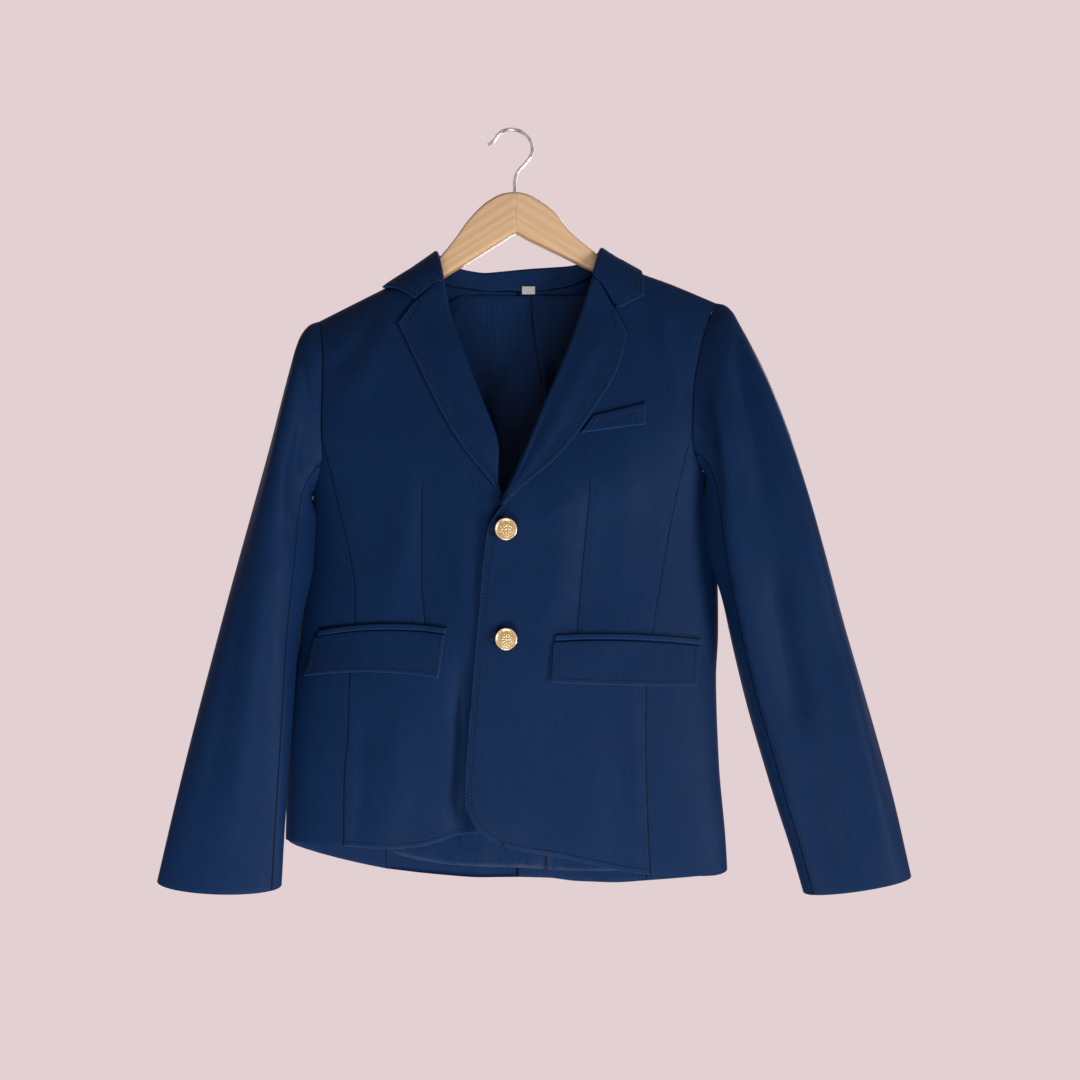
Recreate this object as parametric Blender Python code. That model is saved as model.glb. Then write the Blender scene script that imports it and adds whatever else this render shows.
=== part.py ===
"""A child's school blazer, buttoned, hanging on a wooden hanger with a bent wire hook.

Sizes are in millimetres and are scaled to metres when a mesh is made. The origin is the inner
top of the hook's bend, +X is the wearer's left (the right-hand side seen from the front), the
front faces -Y, and +Z is up. The blazer hangs a little askew: the right-hand shoulder is
higher, so every table gives each side its own sizes.
"""
import math

import bmesh
import bpy
from mathutils import Vector

MM = 0.001
WALL = 2.0          # shell cloth with its interlining and lining
SEAM = 0.3          # gap between neighbouring pieces
LAYER = 0.6         # gap under a piece that lies on another
HEAD = 45.0         # height over which the front and the back round over to the shoulder line
HEAD_ARC = 53.0     # the same, measured round the cloth
ROUND = 24          # points round an armhole and a sleeve
ARM_ROWS = 9        # rows of a front or a back from the shoulder to the side panel's top
LOW_ROWS = 10       # rows from there to the hem
BACK_ACROSS = (0.0, 0.12, 0.22, 0.31, 0.39, 0.46, 0.6, 0.73, 0.87, 1.0)

NAVY = (0.010, 0.022, 0.070)
SATIN = (0.006, 0.012, 0.035)
WOOD = (0.730, 0.448, 0.205)
GOLD = (0.752, 0.578, 0.352)
STEEL = (0.560, 0.560, 0.560)
WHITE = (0.800, 0.780, 0.760)

# The body's cross-sections. front, back and fold are depths (y); the powers say how square the
# front half and the back half of the section are.
BODY_COLUMNS = ("z", "left", "right", "front", "back", "fold", "front_power", "back_power")
BODY = (
    (-100.0, -214.0, 210.0, -18.0, 16.0, 0.0, 3.0, 4.0),
    (-165.0, -210.0, 206.0, -21.0, 16.0, -1.0, 3.0, 4.0),
    (-215.0, -204.0, 196.0, -31.0, 16.0, -3.0, 3.0, 4.0),
    (-280.0, -199.0, 187.0, -40.0, 15.0, -5.0, 3.0, 3.8),
    (-310.0, -194.0, 182.0, -43.0, 15.0, -5.0, 2.6, 3.6),
    (-345.0, -190.5, 180.5, -45.0, 14.0, -1.0, 2.3, 3.4),
    (-380.0, -194.5, 187.5, -46.0, 14.0, 3.5, 2.0, 3.4),
    (-420.0, -199.5, 193.0, -46.0, 14.0, 5.5, 1.9, 3.4),
    (-480.0, -205.5, 195.0, -46.0, 14.0, 5.0, 1.95, 3.4),
    (-520.0, -209.5, 193.0, -45.0, 13.0, 1.5, 2.1, 3.4),
    (-600.0, -214.0, 194.0, -42.0, 12.5, -3.0, 2.3, 3.4),
    (-673.0, -217.0, 198.5, -38.0, 12.0, -6.0, 2.4, 3.4),
    (-720.0, -218.5, 201.0, -36.0, 12.0, -6.0, 2.4, 3.4),
)

# Shoulder lines: x, z, as if they went on and met over the neck.
SHOULDER = (
    (-225.0, -200.6), (-185.0, -180.4), (-95.0, -135.0), (-30.0, -102.2), (0.0, -89.0),
    (30.0, -95.0), (93.5, -122.0), (119.5, -134.6), (147.7, -145.0), (191.0, -163.0),
    (225.0, -177.5),
)

# How far the overlapping front stands off, by height.
OVERLAP = (
    (-230.0, 0.0), (-285.0, 1.4), (-320.0, 4.6), (-345.0, 6.4), (-380.0, 5.6),
    (-415.0, 3.8), (-480.0, 3.4), (-600.0, 6.0), (-650.0, 9.0), (-720.0, 9.5),
)

# Free edges of the fronts from the neck to the hem's corner: z, x.
EDGE = {
    "R": ((-121.6, 93.5), (-128.0, 87.5), (-141.0, 79.7), (-175.0, 68.4), (-209.6, 56.0),
          (-268.4, 31.5), (-322.9, 9.0), (-335.0, 3.0), (-345.0, -2.4), (-352.0, -6.8),
          (-358.0, -11.0), (-363.0, -14.8), (-370.0, -19.4), (-376.8, -22.8),
          (-390.7, -25.3), (-422.6, -28.6), (-460.8, -31.7), (-533.9, -38.2),
          (-588.1, -42.5), (-628.7, -44.0)),
    "L": ((-135.0, -95.0), (-139.0, -85.0), (-144.0, -77.0), (-151.0, -71.5),
          (-178.8, -64.8), (-218.2, -51.0), (-256.7, -36.0), (-296.6, -21.0),
          (-317.7, -16.4), (-328.0, -15.6), (-340.0, -12.6), (-350.0, -6.0), (-364.0, 4.5),
          (-380.0, 10.0),
          (-430.0, 12.0), (-480.0, 14.0), (-600.0, 12.0), (-625.0, 8.0)),
}

# Armhole and princess seam at the front, and armhole and side seam at the back: z, x.
FRONT_SEAM = {
    "R": ((-163.0, 191.0), (-184.0, 181.4), (-215.0, 172.6), (-244.5, 167.1),
          (-270.0, 165.6), (-284.0, 165.2), (-310.0, 159.4), (-357.6, 148.4),
          (-410.0, 139.0), (-472.0, 128.4), (-522.6, 122.3), (-571.6, 121.5),
          (-639.0, 123.2), (-697.0, 126.1)),
    "L": ((-180.4, -185.0), (-199.0, -180.1), (-222.5, -177.9), (-250.0, -178.0),
          (-275.0, -178.4), (-291.0, -178.2), (-315.0, -172.8), (-357.5, -162.8),
          (-410.1, -150.8), (-437.0, -147.0), (-465.0, -147.0), (-510.0, -151.5),
          (-572.0, -153.4), (-602.0, -156.4), (-670.6, -157.3)),
}
BACK_SEAM = {
    "R": ((-163.0, 191.0), (-184.0, 184.0), (-215.0, 177.5), (-250.0, 173.5),
          (-284.0, 171.0), (-340.0, 160.0), (-400.0, 146.0), (-470.0, 136.0),
          (-560.0, 130.0), (-714.0, 126.0)),
    "L": ((-180.4, -185.0), (-199.0, -182.0), (-225.0, -180.5), (-260.0, -180.5),
          (-291.0, -181.0), (-340.0, -168.0), (-400.0, -151.0), (-470.0, -139.0),
          (-550.0, -130.0), (-702.8, -122.6)),
}
PANEL_TOP = {"R": (-284.0, -330.0), "L": (-291.0, -345.0)}   # side panel: at its seams, lowest

# Hems. The fronts' run from the corner to the princess seam: share, x, z.
FRONT_HEM = {
    "R": ((0.0, -44.0, -628.7), (0.08, -36.0, -646.3), (0.17, -23.6, -659.0),
          (0.28, -6.0, -667.6), (0.39, 11.4, -672.2), (0.55, 41.3, -677.5),
          (0.72, 72.9, -686.0), (0.86, 101.2, -693.0), (1.0, 126.1, -697.0)),
    "L": ((0.0, 8.0, -625.0), (0.08, 0.0, -640.0), (0.2, -20.0, -652.0),
          (0.36, -51.0, -660.2), (0.58, -91.5, -670.5), (0.76, -116.5, -672.5),
          (1.0, -157.3, -670.6)),
}
SIDE_HEM = {
    "R": ((0.0, -697.0), (0.25, -701.0), (0.5, -698.0), (0.75, -705.0), (1.0, -714.0)),
    "L": ((0.0, -670.6), (0.25, -669.5), (0.5, -669.5), (0.75, -679.0), (1.0, -702.8)),
}
BACK_HEM = {
    "R": ((0.0, 3.0, -711.0), (0.23, 31.0, -711.6), (0.47, 60.5, -715.0),
          (0.73, 93.3, -716.0), (1.0, 126.0, -714.0)),
    "L": ((0.0, 3.0, -711.0), (0.29, -33.0, -711.2), (0.58, -69.0, -709.0),
          (1.0, -122.6, -702.8)),
}
# Top of the backs at the neck: share, x, z. From there the shoulder seam runs out to the armhole.
BACK_TOP = {
    "R": ((0.0, 4.0, -150.0), (0.17, 36.0, -147.6), (0.32, 66.0, -140.0), (0.42, 85.0, -127.0)),
    "L": ((0.0, 4.0, -150.0), (0.17, -30.0, -149.0), (0.32, -64.0, -144.0), (0.42, -86.0, -137.0)),
}
BACK_SHOULDER = {"R": (93.5, 191.0), "L": (-95.0, -185.0)}

# Sleeves, ring by ring from the armhole to the cuff: outer point, inner point, middle depth,
# half depth, and how much of the armhole's own shape the ring keeps.
SLEEVE_COLUMNS = ("outer_x", "outer_z", "inner_x", "inner_z", "middle", "half_depth", "armhole")
SLEEVE = {
    "R": ((191.0, -163.0, 178.6, -330.0, -5.0, 21.0, 1.0),
          (198.3, -165.0, 180.4, -333.0, -6.0, 24.0, 0.80),
          (205.5, -171.6, 181.8, -338.0, -7.0, 27.0, 0.55),
          (213.1, -186.0, 183.0, -346.0, -8.0, 30.0, 0.30),
          (223.2, -206.2, 184.3, -359.0, -10.0, 32.0, 0.12),
          (236.9, -234.9, 186.0, -378.0, -11.0, 33.0, 0.0),
          (254.9, -280.0, 189.3, -408.0, -12.0, 33.0, 0.0),
          (272.3, -333.6, 196.5, -446.0, -12.0, 33.0, 0.0),
          (290.1, -395.9, 206.5, -493.0, -12.0, 32.0, 0.0),
          (307.9, -462.5, 219.5, -546.0, -12.0, 30.0, 0.0),
          (323.4, -516.5, 232.0, -590.0, -13.0, 28.0, 0.0),
          (338.9, -570.6, 245.5, -635.0, -14.0, 25.0, 0.0),
          (354.9, -629.7, 259.0, -677.0, -15.0, 22.0, 0.0),
          (371.4, -702.2, 271.0, -718.0, -16.0, 19.0, 0.0)),
    "L": ((-185.0, -180.4, -189.0, -345.0, -5.0, 21.0, 1.0),
          (-192.8, -183.7, -190.6, -348.0, -6.0, 24.0, 0.80),
          (-200.9, -193.6, -191.8, -353.0, -7.0, 27.0, 0.55),
          (-205.2, -206.4, -193.0, -361.0, -8.5, 30.0, 0.30),
          (-209.4, -224.5, -194.2, -373.0, -10.0, 32.0, 0.12),
          (-215.9, -252.5, -195.6, -392.0, -12.0, 34.0, 0.0),
          (-224.3, -288.3, -197.4, -417.0, -14.0, 36.0, 0.0),
          (-236.2, -333.8, -199.8, -447.0, -16.0, 36.0, 0.0),
          (-250.2, -386.0, -202.4, -482.0, -19.0, 34.0, 0.0),
          (-264.6, -439.9, -204.4, -522.0, -22.0, 31.0, 0.0),
          (-279.9, -499.4, -206.6, -566.0, -25.0, 27.0, 0.0),
          (-296.9, -565.5, -209.4, -612.0, -27.0, 22.0, 0.0),
          (-312.9, -631.4, -212.4, -662.0, -29.0, 17.5, 0.0),
          (-329.5, -702.7, -214.6, -707.0, -30.0, 13.0, 0.0)),
}
CUFF_DIP = {"R": (-1.0, -9.0), "L": (-7.0, -3.0)}   # how far the cuff's front and back hang lower

# Largest folds of the sleeves: round the sleeve (degrees, 0 outermost, 90 in front), spread,
# height, and the share of the length where the fold is at its fullest, and how long it runs.
FOLD_COLUMNS = ("angle", "spread", "height", "middle", "run")
FOLDS = {
    "R": ((100.0, 15.0, 3.0, 0.24, 0.18), (136.0, 15.0, 4.0, 0.54, 0.28),
          (60.0, 16.0, -3.5, 0.36, 0.18), (104.0, 18.0, -5.0, 0.63, 0.30),
          (44.0, 20.0, 4.0, 0.66, 0.36), (250.0, 24.0, -3.5, 0.45, 0.30),
          (300.0, 22.0, 3.0, 0.60, 0.30)),
    "L": ((112.0, 22.0, -3.5, 0.32, 0.24), (70.0, 22.0, 2.5, 0.40, 0.30),
          (262.0, 24.0, -3.5, 0.42, 0.28), (305.0, 20.0, 2.5, 0.62, 0.28)),
}

# Roll lines and lapel edges, from the gorge down: share, x, z.
ROLL = {
    "R": ((0.0, 73.3, -141.6), (0.31, 49.6, -209.6), (0.58, 24.8, -268.4),
          (0.83, 2.0, -322.9), (1.0, -13.6, -355.5)),
    "L": ((0.0, -65.6, -144.6), (0.17, -58.2, -178.8), (0.38, -44.4, -218.2),
          (0.58, -29.2, -256.7), (0.79, -14.3, -296.6), (1.0, -9.8, -325.0)),
}
LAPEL = {
    "R": ((0.0, 104.9, -197.5), (0.16, 97.1, -226.5), (0.42, 73.7, -268.4),
          (0.68, 41.2, -311.3), (0.93, 2.1, -345.7), (1.0, -7.4, -356.4)),
    "L": ((0.0, -107.0, -187.3), (0.25, -88.4, -224.7), (0.56, -66.9, -268.4),
          (0.79, -47.1, -301.2), (1.0, -15.8, -340.0)),
}
NOTCH = {"R": (94.6, -175.6), "L": (-91.8, -166.4)}
ROLL_RADIUS = 3.6
LAPEL_TAIL = 9.0

# Collar, station by station from one gorge round the back to the other. seam is where the
# stand meets the body, roll is the fold line, corner is the middle of the fall (None halfway
# along it), edge is the fall's outer edge; side is 1 where the edge lies on the front and -1 on
# the back; rise is how far the fall stands off near the roll.
COLLAR_COLUMNS = ("seam_x", "seam_z", "roll_x", "roll_y", "roll_z", "corner_x", "corner_z",
                  "edge_x", "edge_z", "side", "rise")
COLLAR = (
    (-70.0, -145.4, -65.8, -19.2, -143.6, -92.2, -163.8, -122.9, -151.1, 1, 1.8),
    (-77.5, -141.2, -67.5, -16.0, -135.0, -98.5, -152.6, -123.6, -150.7, 1, 2.4),
    (-88.0, -136.6, -70.0, -10.5, -124.8, -106.0, -145.4, -123.0, -150.0, 1, 3.2),
    (-94.4, -134.8, -72.0, -3.0, -117.2, None, None, -121.5, -148.3, 1, 3.6),
    (-90.0, -136.0, -72.2, 4.0, -116.8, None, None, -115.0, -154.0, -1, 3.2),
    (-78.0, -139.8, -67.0, 9.6, -120.8, None, None, -104.0, -161.0, -1, 2.4),
    (-60.0, -144.8, -54.0, 11.8, -127.9, None, None, -84.0, -168.0, -1, 2.2),
    (-34.0, -148.6, -32.0, 12.6, -132.0, None, None, -46.0, -172.0, -1, 2.2),
    (-16.0, -149.7, -15.0, 12.8, -131.0, None, None, -22.0, -173.0, -1, 2.2),
    (3.0, -150.0, 3.0, 12.8, -129.2, None, None, 3.0, -173.2, -1, 2.2),
    (19.0, -149.3, 18.0, 12.7, -127.9, None, None, 25.0, -172.6, -1, 2.2),
    (36.0, -147.6, 34.0, 12.4, -127.0, None, None, 48.0, -171.0, -1, 2.2),
    (60.0, -142.0, 56.0, 11.4, -125.4, None, None, 82.0, -164.0, -1, 2.2),
    (77.0, -133.2, 71.0, 8.4, -120.2, None, None, 102.0, -155.0, -1, 2.0),
    (88.0, -125.0, 78.6, 3.2, -116.4, None, None, 112.0, -145.0, -1, 1.6),
    (93.0, -121.6, 80.6, -3.6, -114.4, None, None, 118.0, -134.0, 1, 1.4),
    (87.0, -128.2, 78.4, -10.6, -122.6, 105.0, -145.0, 120.6, -143.0, 1, 1.6),
    (82.0, -136.4, 75.6, -16.4, -132.2, 101.0, -157.4, 121.4, -152.0, 1, 1.8),
    (77.2, -142.2, 73.4, -19.8, -140.6, 96.2, -172.6, 121.2, -160.0, 1, 1.8),
)
FOLD_RADIUS = 1.7    # middle of the cloth, where the collar folds over

# Flaps and welts on the front, corner by corner (x, z): top inner, top outer, bottom outer,
# bottom inner. The two sags lift the middle of the top and of the bottom edge.
FLAPS = {
    "flap_left": ("R", (36.6, -480.6), (172.6, -486.6), (168.0, -523.4), (34.2, -517.0),
                  3.2, -0.6),
    "flap_right": ("L", (-61.9, -474.4), (-186.2, -478.6), (-194.4, -515.4), (-68.1, -513.8),
                   5.4, 5.4),
    "pocket_welt_left": ("R", (38.4, -474.4), (174.0, -480.6), (173.6, -485.4), (37.6, -479.2),
                         3.2, 3.2),
    "pocket_welt_right": ("L", (-60.6, -468.4), (-181.0, -472.6), (-183.0, -477.6),
                          (-61.2, -473.4), 5.4, 5.4),
    "chest_welt": ("R", (73.4, -274.3), (121.8, -262.0), (120.6, -282.2), (61.4, -290.6),
                   0.0, 0.0),
}

BUTTONS = {"button_upper": (-6.4, -378.0), "button_lower": (-6.3, -477.5)}
# Turned profile of a button: radius, height from its back.
BUTTON_PROFILE = ((0.0, 4.4), (3.4, 4.3), (6.4, 3.7), (7.9, 3.1), (8.3, 3.7), (9.2, 3.9),
                  (10.0, 3.2), (10.25, 2.0), (9.7, 1.0), (7.0, 0.6), (2.6, 0.5), (2.4, -2.2),
                  (0.0, -2.2))

# Hanger: x, top, bottom. Its top keeps just under the shoulders' inner side.
HANGER = (
    (-165.0, -176.0, -187.0), (-150.0, -168.5, -184.5), (-125.0, -155.9, -174.0),
    (-95.0, -141.8, -157.5), (-86.0, -134.8, -150.0), (-71.8, -121.0, -142.0), (-57.5, -103.9, -133.2),
    (-42.3, -83.2, -124.0), (-25.2, -66.9, -113.4), (-10.0, -59.4, -104.0),
    (1.2, -58.2, -97.6), (12.0, -60.2, -103.0), (23.2, -65.9, -108.4),
    (39.4, -78.6, -116.2), (51.8, -94.6, -122.2), (64.8, -106.0, -128.6),
    (78.0, -116.6, -135.0), (86.0, -123.4, -139.6), (95.0, -128.8, -144.6),
    (125.0, -142.2, -158.5), (150.0, -152.3, -168.5), (165.0, -158.6, -169.9),
)
HANGER_HALF = 6.0
HANGER_Y = -1.0     # the arms sit a little forward, in the fold of the shoulders

# Hook: the middle of the wire, x and z, from its free end down to the wood.
WIRE = 3.3
HOOK = (
    (-25.2, -12.8), (-19.5, -8.6), (-14.8, -2.2), (-8.1, 1.5), (-0.4, 1.85), (7.1, -0.6),
    (14.1, -6.8), (16.9, -15.0), (15.3, -23.2), (9.5, -31.2), (3.0, -38.4), (0.5, -45.0),
    (0.3, -57.6),
)


def curve(rows, key, column=1):
    """A smooth value from a table, without overshoot; the first column is the key."""
    keys = [row[0] for row in rows]
    down = keys[0] > keys[-1]
    sign = -1.0 if down else 1.0
    key = key * sign
    keys = [value * sign for value in keys]
    values = [row[column] for row in rows]
    if key <= keys[0]:
        return values[0]
    if key >= keys[-1]:
        return values[-1]
    index = 0
    while key > keys[index + 1]:
        index += 1
    steps = [b - a for a, b in zip(keys, keys[1:])]
    slopes = [(b - a) / step for a, b, step in zip(values, values[1:], steps)]

    def tangent(i):
        if i == 0:
            return slopes[0]
        if i == len(slopes):
            return slopes[-1]
        before, after = slopes[i - 1], slopes[i]
        if before * after <= 0.0:
            return 0.0
        w1 = 2.0 * steps[i] + steps[i - 1]
        w2 = steps[i] + 2.0 * steps[i - 1]
        return (w1 + w2) / (w1 / before + w2 / after)

    step = steps[index]
    t = (key - keys[index]) / step
    start, end = values[index], values[index + 1]
    rise0, rise1 = tangent(index) * step, tangent(index + 1) * step
    return (start * (1 + 2 * t) * (1 - t) ** 2 + rise0 * t * (1 - t) ** 2
            + end * t * t * (3 - 2 * t) + rise1 * t * t * (t - 1))


def smooth(low, high, value):
    t = min(1.0, max(0.0, (value - low) / (high - low)))
    return t * t * (3 - 2 * t)


def body(z, column):
    return curve(BODY, z, BODY_COLUMNS.index(column))


def shoulder(x):
    """Height of the shoulder line over x, as if both lines met over the neck."""
    return curve(SHOULDER, x)


def overlap(x, z):
    """How far the right-hand front stands off, so that it laps over the other."""
    across = x - curve(EDGE["R"], z)
    return curve(OVERLAP, z) * (1.0 - smooth(62.0, 145.0, across))


def depth(x, z, face):
    """y of the cloth's outer side. face is R or L for a front, B for the back."""
    left, right = body(z, "left"), body(z, "right")
    half = (right - left) / 2
    share = min(0.995, abs(x - (left + right) / 2) / half)
    fold = body(z, "fold")
    if face == "B":
        most, power = body(z, "back"), body(z, "back_power")
    else:
        most, power = body(z, "front"), body(z, "front_power")
    y = fold + (most - fold) * (1.0 - share ** power) ** (1.0 / power)
    if face == "R":
        y -= overlap(x, z)
    down = min(1.0, max(0.0, (shoulder(x) - z) / HEAD))
    return y * math.sqrt(max(0.0, 1.0 - (1.0 - down) ** 2))


def skin(x, z, face):
    return Vector((x, depth(x, z, face), z))


def skin_normal(x, z, face):
    """Outward normal of the cloth at x, z on a front or on the back."""
    if shoulder(x) - z < 0.05:
        slope = (shoulder(x + 1.0) - shoulder(x - 1.0)) / 2
        return Vector((-slope, 0.0, 1.0)).normalized()
    e = 0.05
    top = min(z + e, shoulder(x) - 0.0005)
    low = min(z, shoulder(x) - 0.0005) - e
    along = (depth(x, top, face) - depth(x, low, face)) / (top - low)
    level = min(z, min(shoulder(x - e), shoulder(x + e)) - 0.02)
    across = (depth(x + e, level, face) - depth(x - e, level, face)) / (2 * e)
    sign = -1.0 if face == "B" else 1.0
    if shoulder(x) - z < 0.6:
        across = 0.0
    return (Vector((across, -1.0, along)) * sign).normalized()


def place(x, z, face, height=0.0):
    """A point height above the cloth's outer side."""
    return skin(x, z, face) + skin_normal(x, z, face) * height


def turn(x, z, face):
    """Direction round the body's middle of a point on the cloth, 0 at the side fold."""
    left, right = body(z, "left"), body(z, "right")
    across = (x - (left + right) / 2) / ((right - left) / 2)
    power = body(z, "back_power" if face == "B" else "front_power")
    across = max(-0.9999, min(0.9999, across))
    out = (1.0 - abs(across) ** power) ** (1.0 / power)
    return math.atan2(out, abs(across))


def side_skin(angle, z, side):
    """Outer side near the side fold: angle > 0 in front, < 0 behind."""
    left, right = body(z, "left"), body(z, "right")
    half = (right - left) / 2
    fold = body(z, "fold")
    if angle >= 0:
        most, power = body(z, "front"), body(z, "front_power")
    else:
        most, power = body(z, "back"), body(z, "back_power")
    c, s = math.cos(angle), math.sin(abs(angle))
    reach = (c ** power + s ** power) ** (-1.0 / power)
    sign = 1.0 if side == "R" else -1.0
    return Vector(((left + right) / 2 + sign * half * reach * c,
                   fold + (most - fold) * reach * s, z))


def rows_of(top_share):
    """Shares down a front or a back: fine over the shoulder, then even."""
    fine = (0.0, 0.017, 0.066, 0.142, 0.238, 0.355, 0.49, 0.65, 0.82, 1.0)
    rows = [value * top_share for value in fine]
    rows += [top_share + (1.0 - top_share) * (i + 1) / LOW_ROWS for i in range(LOW_ROWS)]
    return rows


def patch(inner, outer, top, bottom, u, v):
    """x, z inside four edges: inner and outer run down, top and bottom run outwards."""
    def run(rows, share):
        z = rows[0][0] + (rows[-1][0] - rows[0][0]) * share
        return curve(rows, z), z

    def across(rows, share):
        return curve(rows, share, 1), curve(rows, share, 2)

    a, b = run(inner, v), run(outer, v)
    c, d = across(top, u), across(bottom, u)
    out = []
    for i in range(2):
        corner = ((1 - u) * ((1 - v) * across(top, 0.0)[i] + v * across(bottom, 0.0)[i])
                  + u * ((1 - v) * across(top, 1.0)[i] + v * across(bottom, 1.0)[i]))
        out.append((1 - u) * a[i] + u * b[i] + (1 - v) * c[i] + v * d[i] - corner)
    return out


def front_grid(side, columns):
    """Outer points and normals of a front, row by row."""
    edge, seam, hem = EDGE[side], FRONT_SEAM[side], FRONT_HEM[side]
    top = ((0.0, edge[0][1], shoulder(edge[0][1])), (1.0, seam[0][1], shoulder(seam[0][1])))
    share = (PANEL_TOP[side][0] - seam[0][0]) / (seam[-1][0] - seam[0][0])
    grid = []
    for v in rows_of(share):
        line = []
        for i in range(columns + 1):
            x, z = patch(edge, seam, top, hem, i / columns, v)
            z = min(z, shoulder(x))
            line.append((skin(x, z, side), skin_normal(x, z, side)))
        grid.append(line)
    return grid


def back_grid(side):
    seam, hem, top = BACK_SEAM[side], BACK_HEM[side], list(BACK_TOP[side])
    near, far = BACK_SHOULDER[side]
    for u in (0.46, 0.6, 0.73, 0.87, 1.0):
        x = near + (far - near) * (u - 0.46) / 0.54
        top.append((u, x, shoulder(x)))
    middle = ((-150.0, 4.0), (-711.0, 3.0))
    share = (PANEL_TOP[side][0] - seam[0][0]) / (seam[-1][0] - seam[0][0])
    grid = []
    for v in rows_of(share):
        line = []
        for u in BACK_ACROSS:
            x, z = patch(middle, seam, top, hem, u, v)
            z = min(z, shoulder(x))
            line.append((skin(x, z, "B"), skin_normal(x, z, "B")))
        grid.append(line)
    return grid


def side_grid(side):
    """Side panel from the princess seam round the fold to the back's seam."""
    across = 6
    at_seams, lowest = PANEL_TOP[side]
    sign = 1.0 if side == "R" else -1.0
    grid = []
    for j in range(LOW_ROWS + 1):
        v = j / LOW_ROWS
        line = []
        for i in range(across + 1):
            swing = math.cos(math.pi * i / across)
            u = (1.0 - swing) / 2

            def point(u, v):
                swing = 1.0 - 2.0 * u
                top = at_seams + (lowest - at_seams) * math.sqrt(max(0.0, 1.0 - swing ** 2))
                z = top + v * (curve(SIDE_HEM[side], u) - top)
                if swing >= 0:
                    angle = turn(curve(FRONT_SEAM[side], z), z, side) * swing
                else:
                    angle = turn(curve(BACK_SEAM[side], z), z, "B") * swing
                return side_skin(angle, z, side)

            here = point(u, v)
            if i == 0:
                normal = skin_normal(here.x, here.z, side)
            elif i == across:
                normal = skin_normal(here.x, here.z, "B")
            else:
                e = 0.01
                du = point(u + e, v) - point(u - e, v)
                dv = point(u, min(1.0, v + e)) - point(u, max(0.0, v - e))
                normal = du.cross(dv).normalized()
                if normal.x * sign < 0:
                    normal = -normal
            line.append((here, normal))
        grid.append(line)
    return grid


def armhole(side, front, back, panel):
    """The ring of points shared by the body's edge and the sleeve: front, below, behind."""
    ring = [front[j][-1][0] for j in range(ARM_ROWS + 1)]
    ring += [panel[0][i][0] for i in range(1, 6)]
    ring += [back[j][-1][0] for j in range(ARM_ROWS, 0, -1)]
    return ring


def fold_height(side, angle, share):
    total = 0.0
    for centre, spread, height, middle, run in FOLDS[side]:
        turn_by = (angle - centre + 180.0) % 360.0 - 180.0
        along = (share - middle) / run
        if abs(along) < 1.0:
            total += (height * math.exp(-(turn_by / spread) ** 2)
                      * math.cos(along * math.pi / 2) ** 2)
    return total


def sleeve_grid(side, ring):
    """Rings of points from the armhole to the cuff, with their outward normals."""
    rings = SLEEVE[side]
    first = rings[0]
    reach = first[1] - first[3]
    angles = []
    for k, point in enumerate(ring):
        share = min(1.0, max(0.0, (first[1] - point.z) / reach))
        angle = math.degrees(math.acos(1.0 - 2.0 * share))
        angles.append(angle if k <= ROUND // 2 else 360.0 - angle)

    def oval(row, angle):
        ox, oz, ix, iz, middle, half, _ = row
        c, s = math.cos(math.radians(angle)), math.sin(math.radians(angle))
        bulge = math.copysign(abs(s) ** 0.9, s)
        return Vector(((ox + ix) / 2 + (ox - ix) / 2 * c, middle - half * bulge,
                       (oz + iz) / 2 + (oz - iz) / 2 * c))

    points = []
    last = len(rings) - 1
    for r, row in enumerate(rings):
        line = []
        even = smooth(1, last, r)
        for k in range(ROUND):
            angle = angles[k] * (1 - even) + 360.0 * k / ROUND * even
            here = oval(row, angle)
            here += (ring[k] - oval(first, angles[k])) * row[6]
            if r == last:
                s = math.sin(math.radians(angle))
                dip = CUFF_DIP[side][0 if s > 0 else 1]
                here.z += dip * abs(s)
            line.append(here)
        points.append(line)
    grid = []
    for r, line in enumerate(points):
        out = []
        for k, here in enumerate(line):
            du = line[(k + 1) % ROUND] - line[k - 1]
            dv = points[min(last, r + 1)][k] - points[max(0, r - 1)][k]
            normal = du.cross(dv).normalized()
            middle = sum(line, Vector()) / ROUND
            if normal.dot(here - middle) < 0:
                normal = -normal
            angle = angles[k] * (1 - smooth(1, last, r)) + 360.0 * k / ROUND * smooth(1, last, r)
            raised = fold_height(side, angle, r / last)
            out.append((here + normal * raised, normal))
        grid.append(out)
    # the first ring keeps clear of the armhole's edge
    sign = 1.0 if side == "R" else -1.0
    for k in range(ROUND):
        here, normal = grid[0][k]
        away = (grid[1][k][0] - here).normalized() * 0.5
        low = 0.5 - 0.5 * math.cos(math.radians(angles[k]))
        grid[0][k] = (here + away + Vector((sign * 0.45 * low, 0.0, 0.0)), normal)
    return grid


def material(name, colour, roughness, metallic=0.0):
    made = bpy.data.materials.new(name)
    made.use_nodes = True
    shader = made.node_tree.nodes["Principled BSDF"]
    shader.inputs["Base Color"].default_value = (*colour, 1.0)
    shader.inputs["Roughness"].default_value = roughness
    shader.inputs["Metallic"].default_value = metallic
    return made


def finish(name, mesh, look):
    """Smooth shading, metres, and one object for the piece."""
    bmesh.ops.recalc_face_normals(mesh, faces=mesh.faces[:])
    bmesh.ops.scale(mesh, vec=(MM, MM, MM), verts=mesh.verts[:])
    data = bpy.data.meshes.new(name)
    mesh.to_mesh(data)
    mesh.free()
    data.shade_smooth()
    data.set_sharp_from_angle(angle=math.radians(40))
    data.materials.append(material(name + "_look", *look))
    made = bpy.data.objects.new(name, data)
    bpy.context.scene.collection.objects.link(made)
    return made


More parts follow.
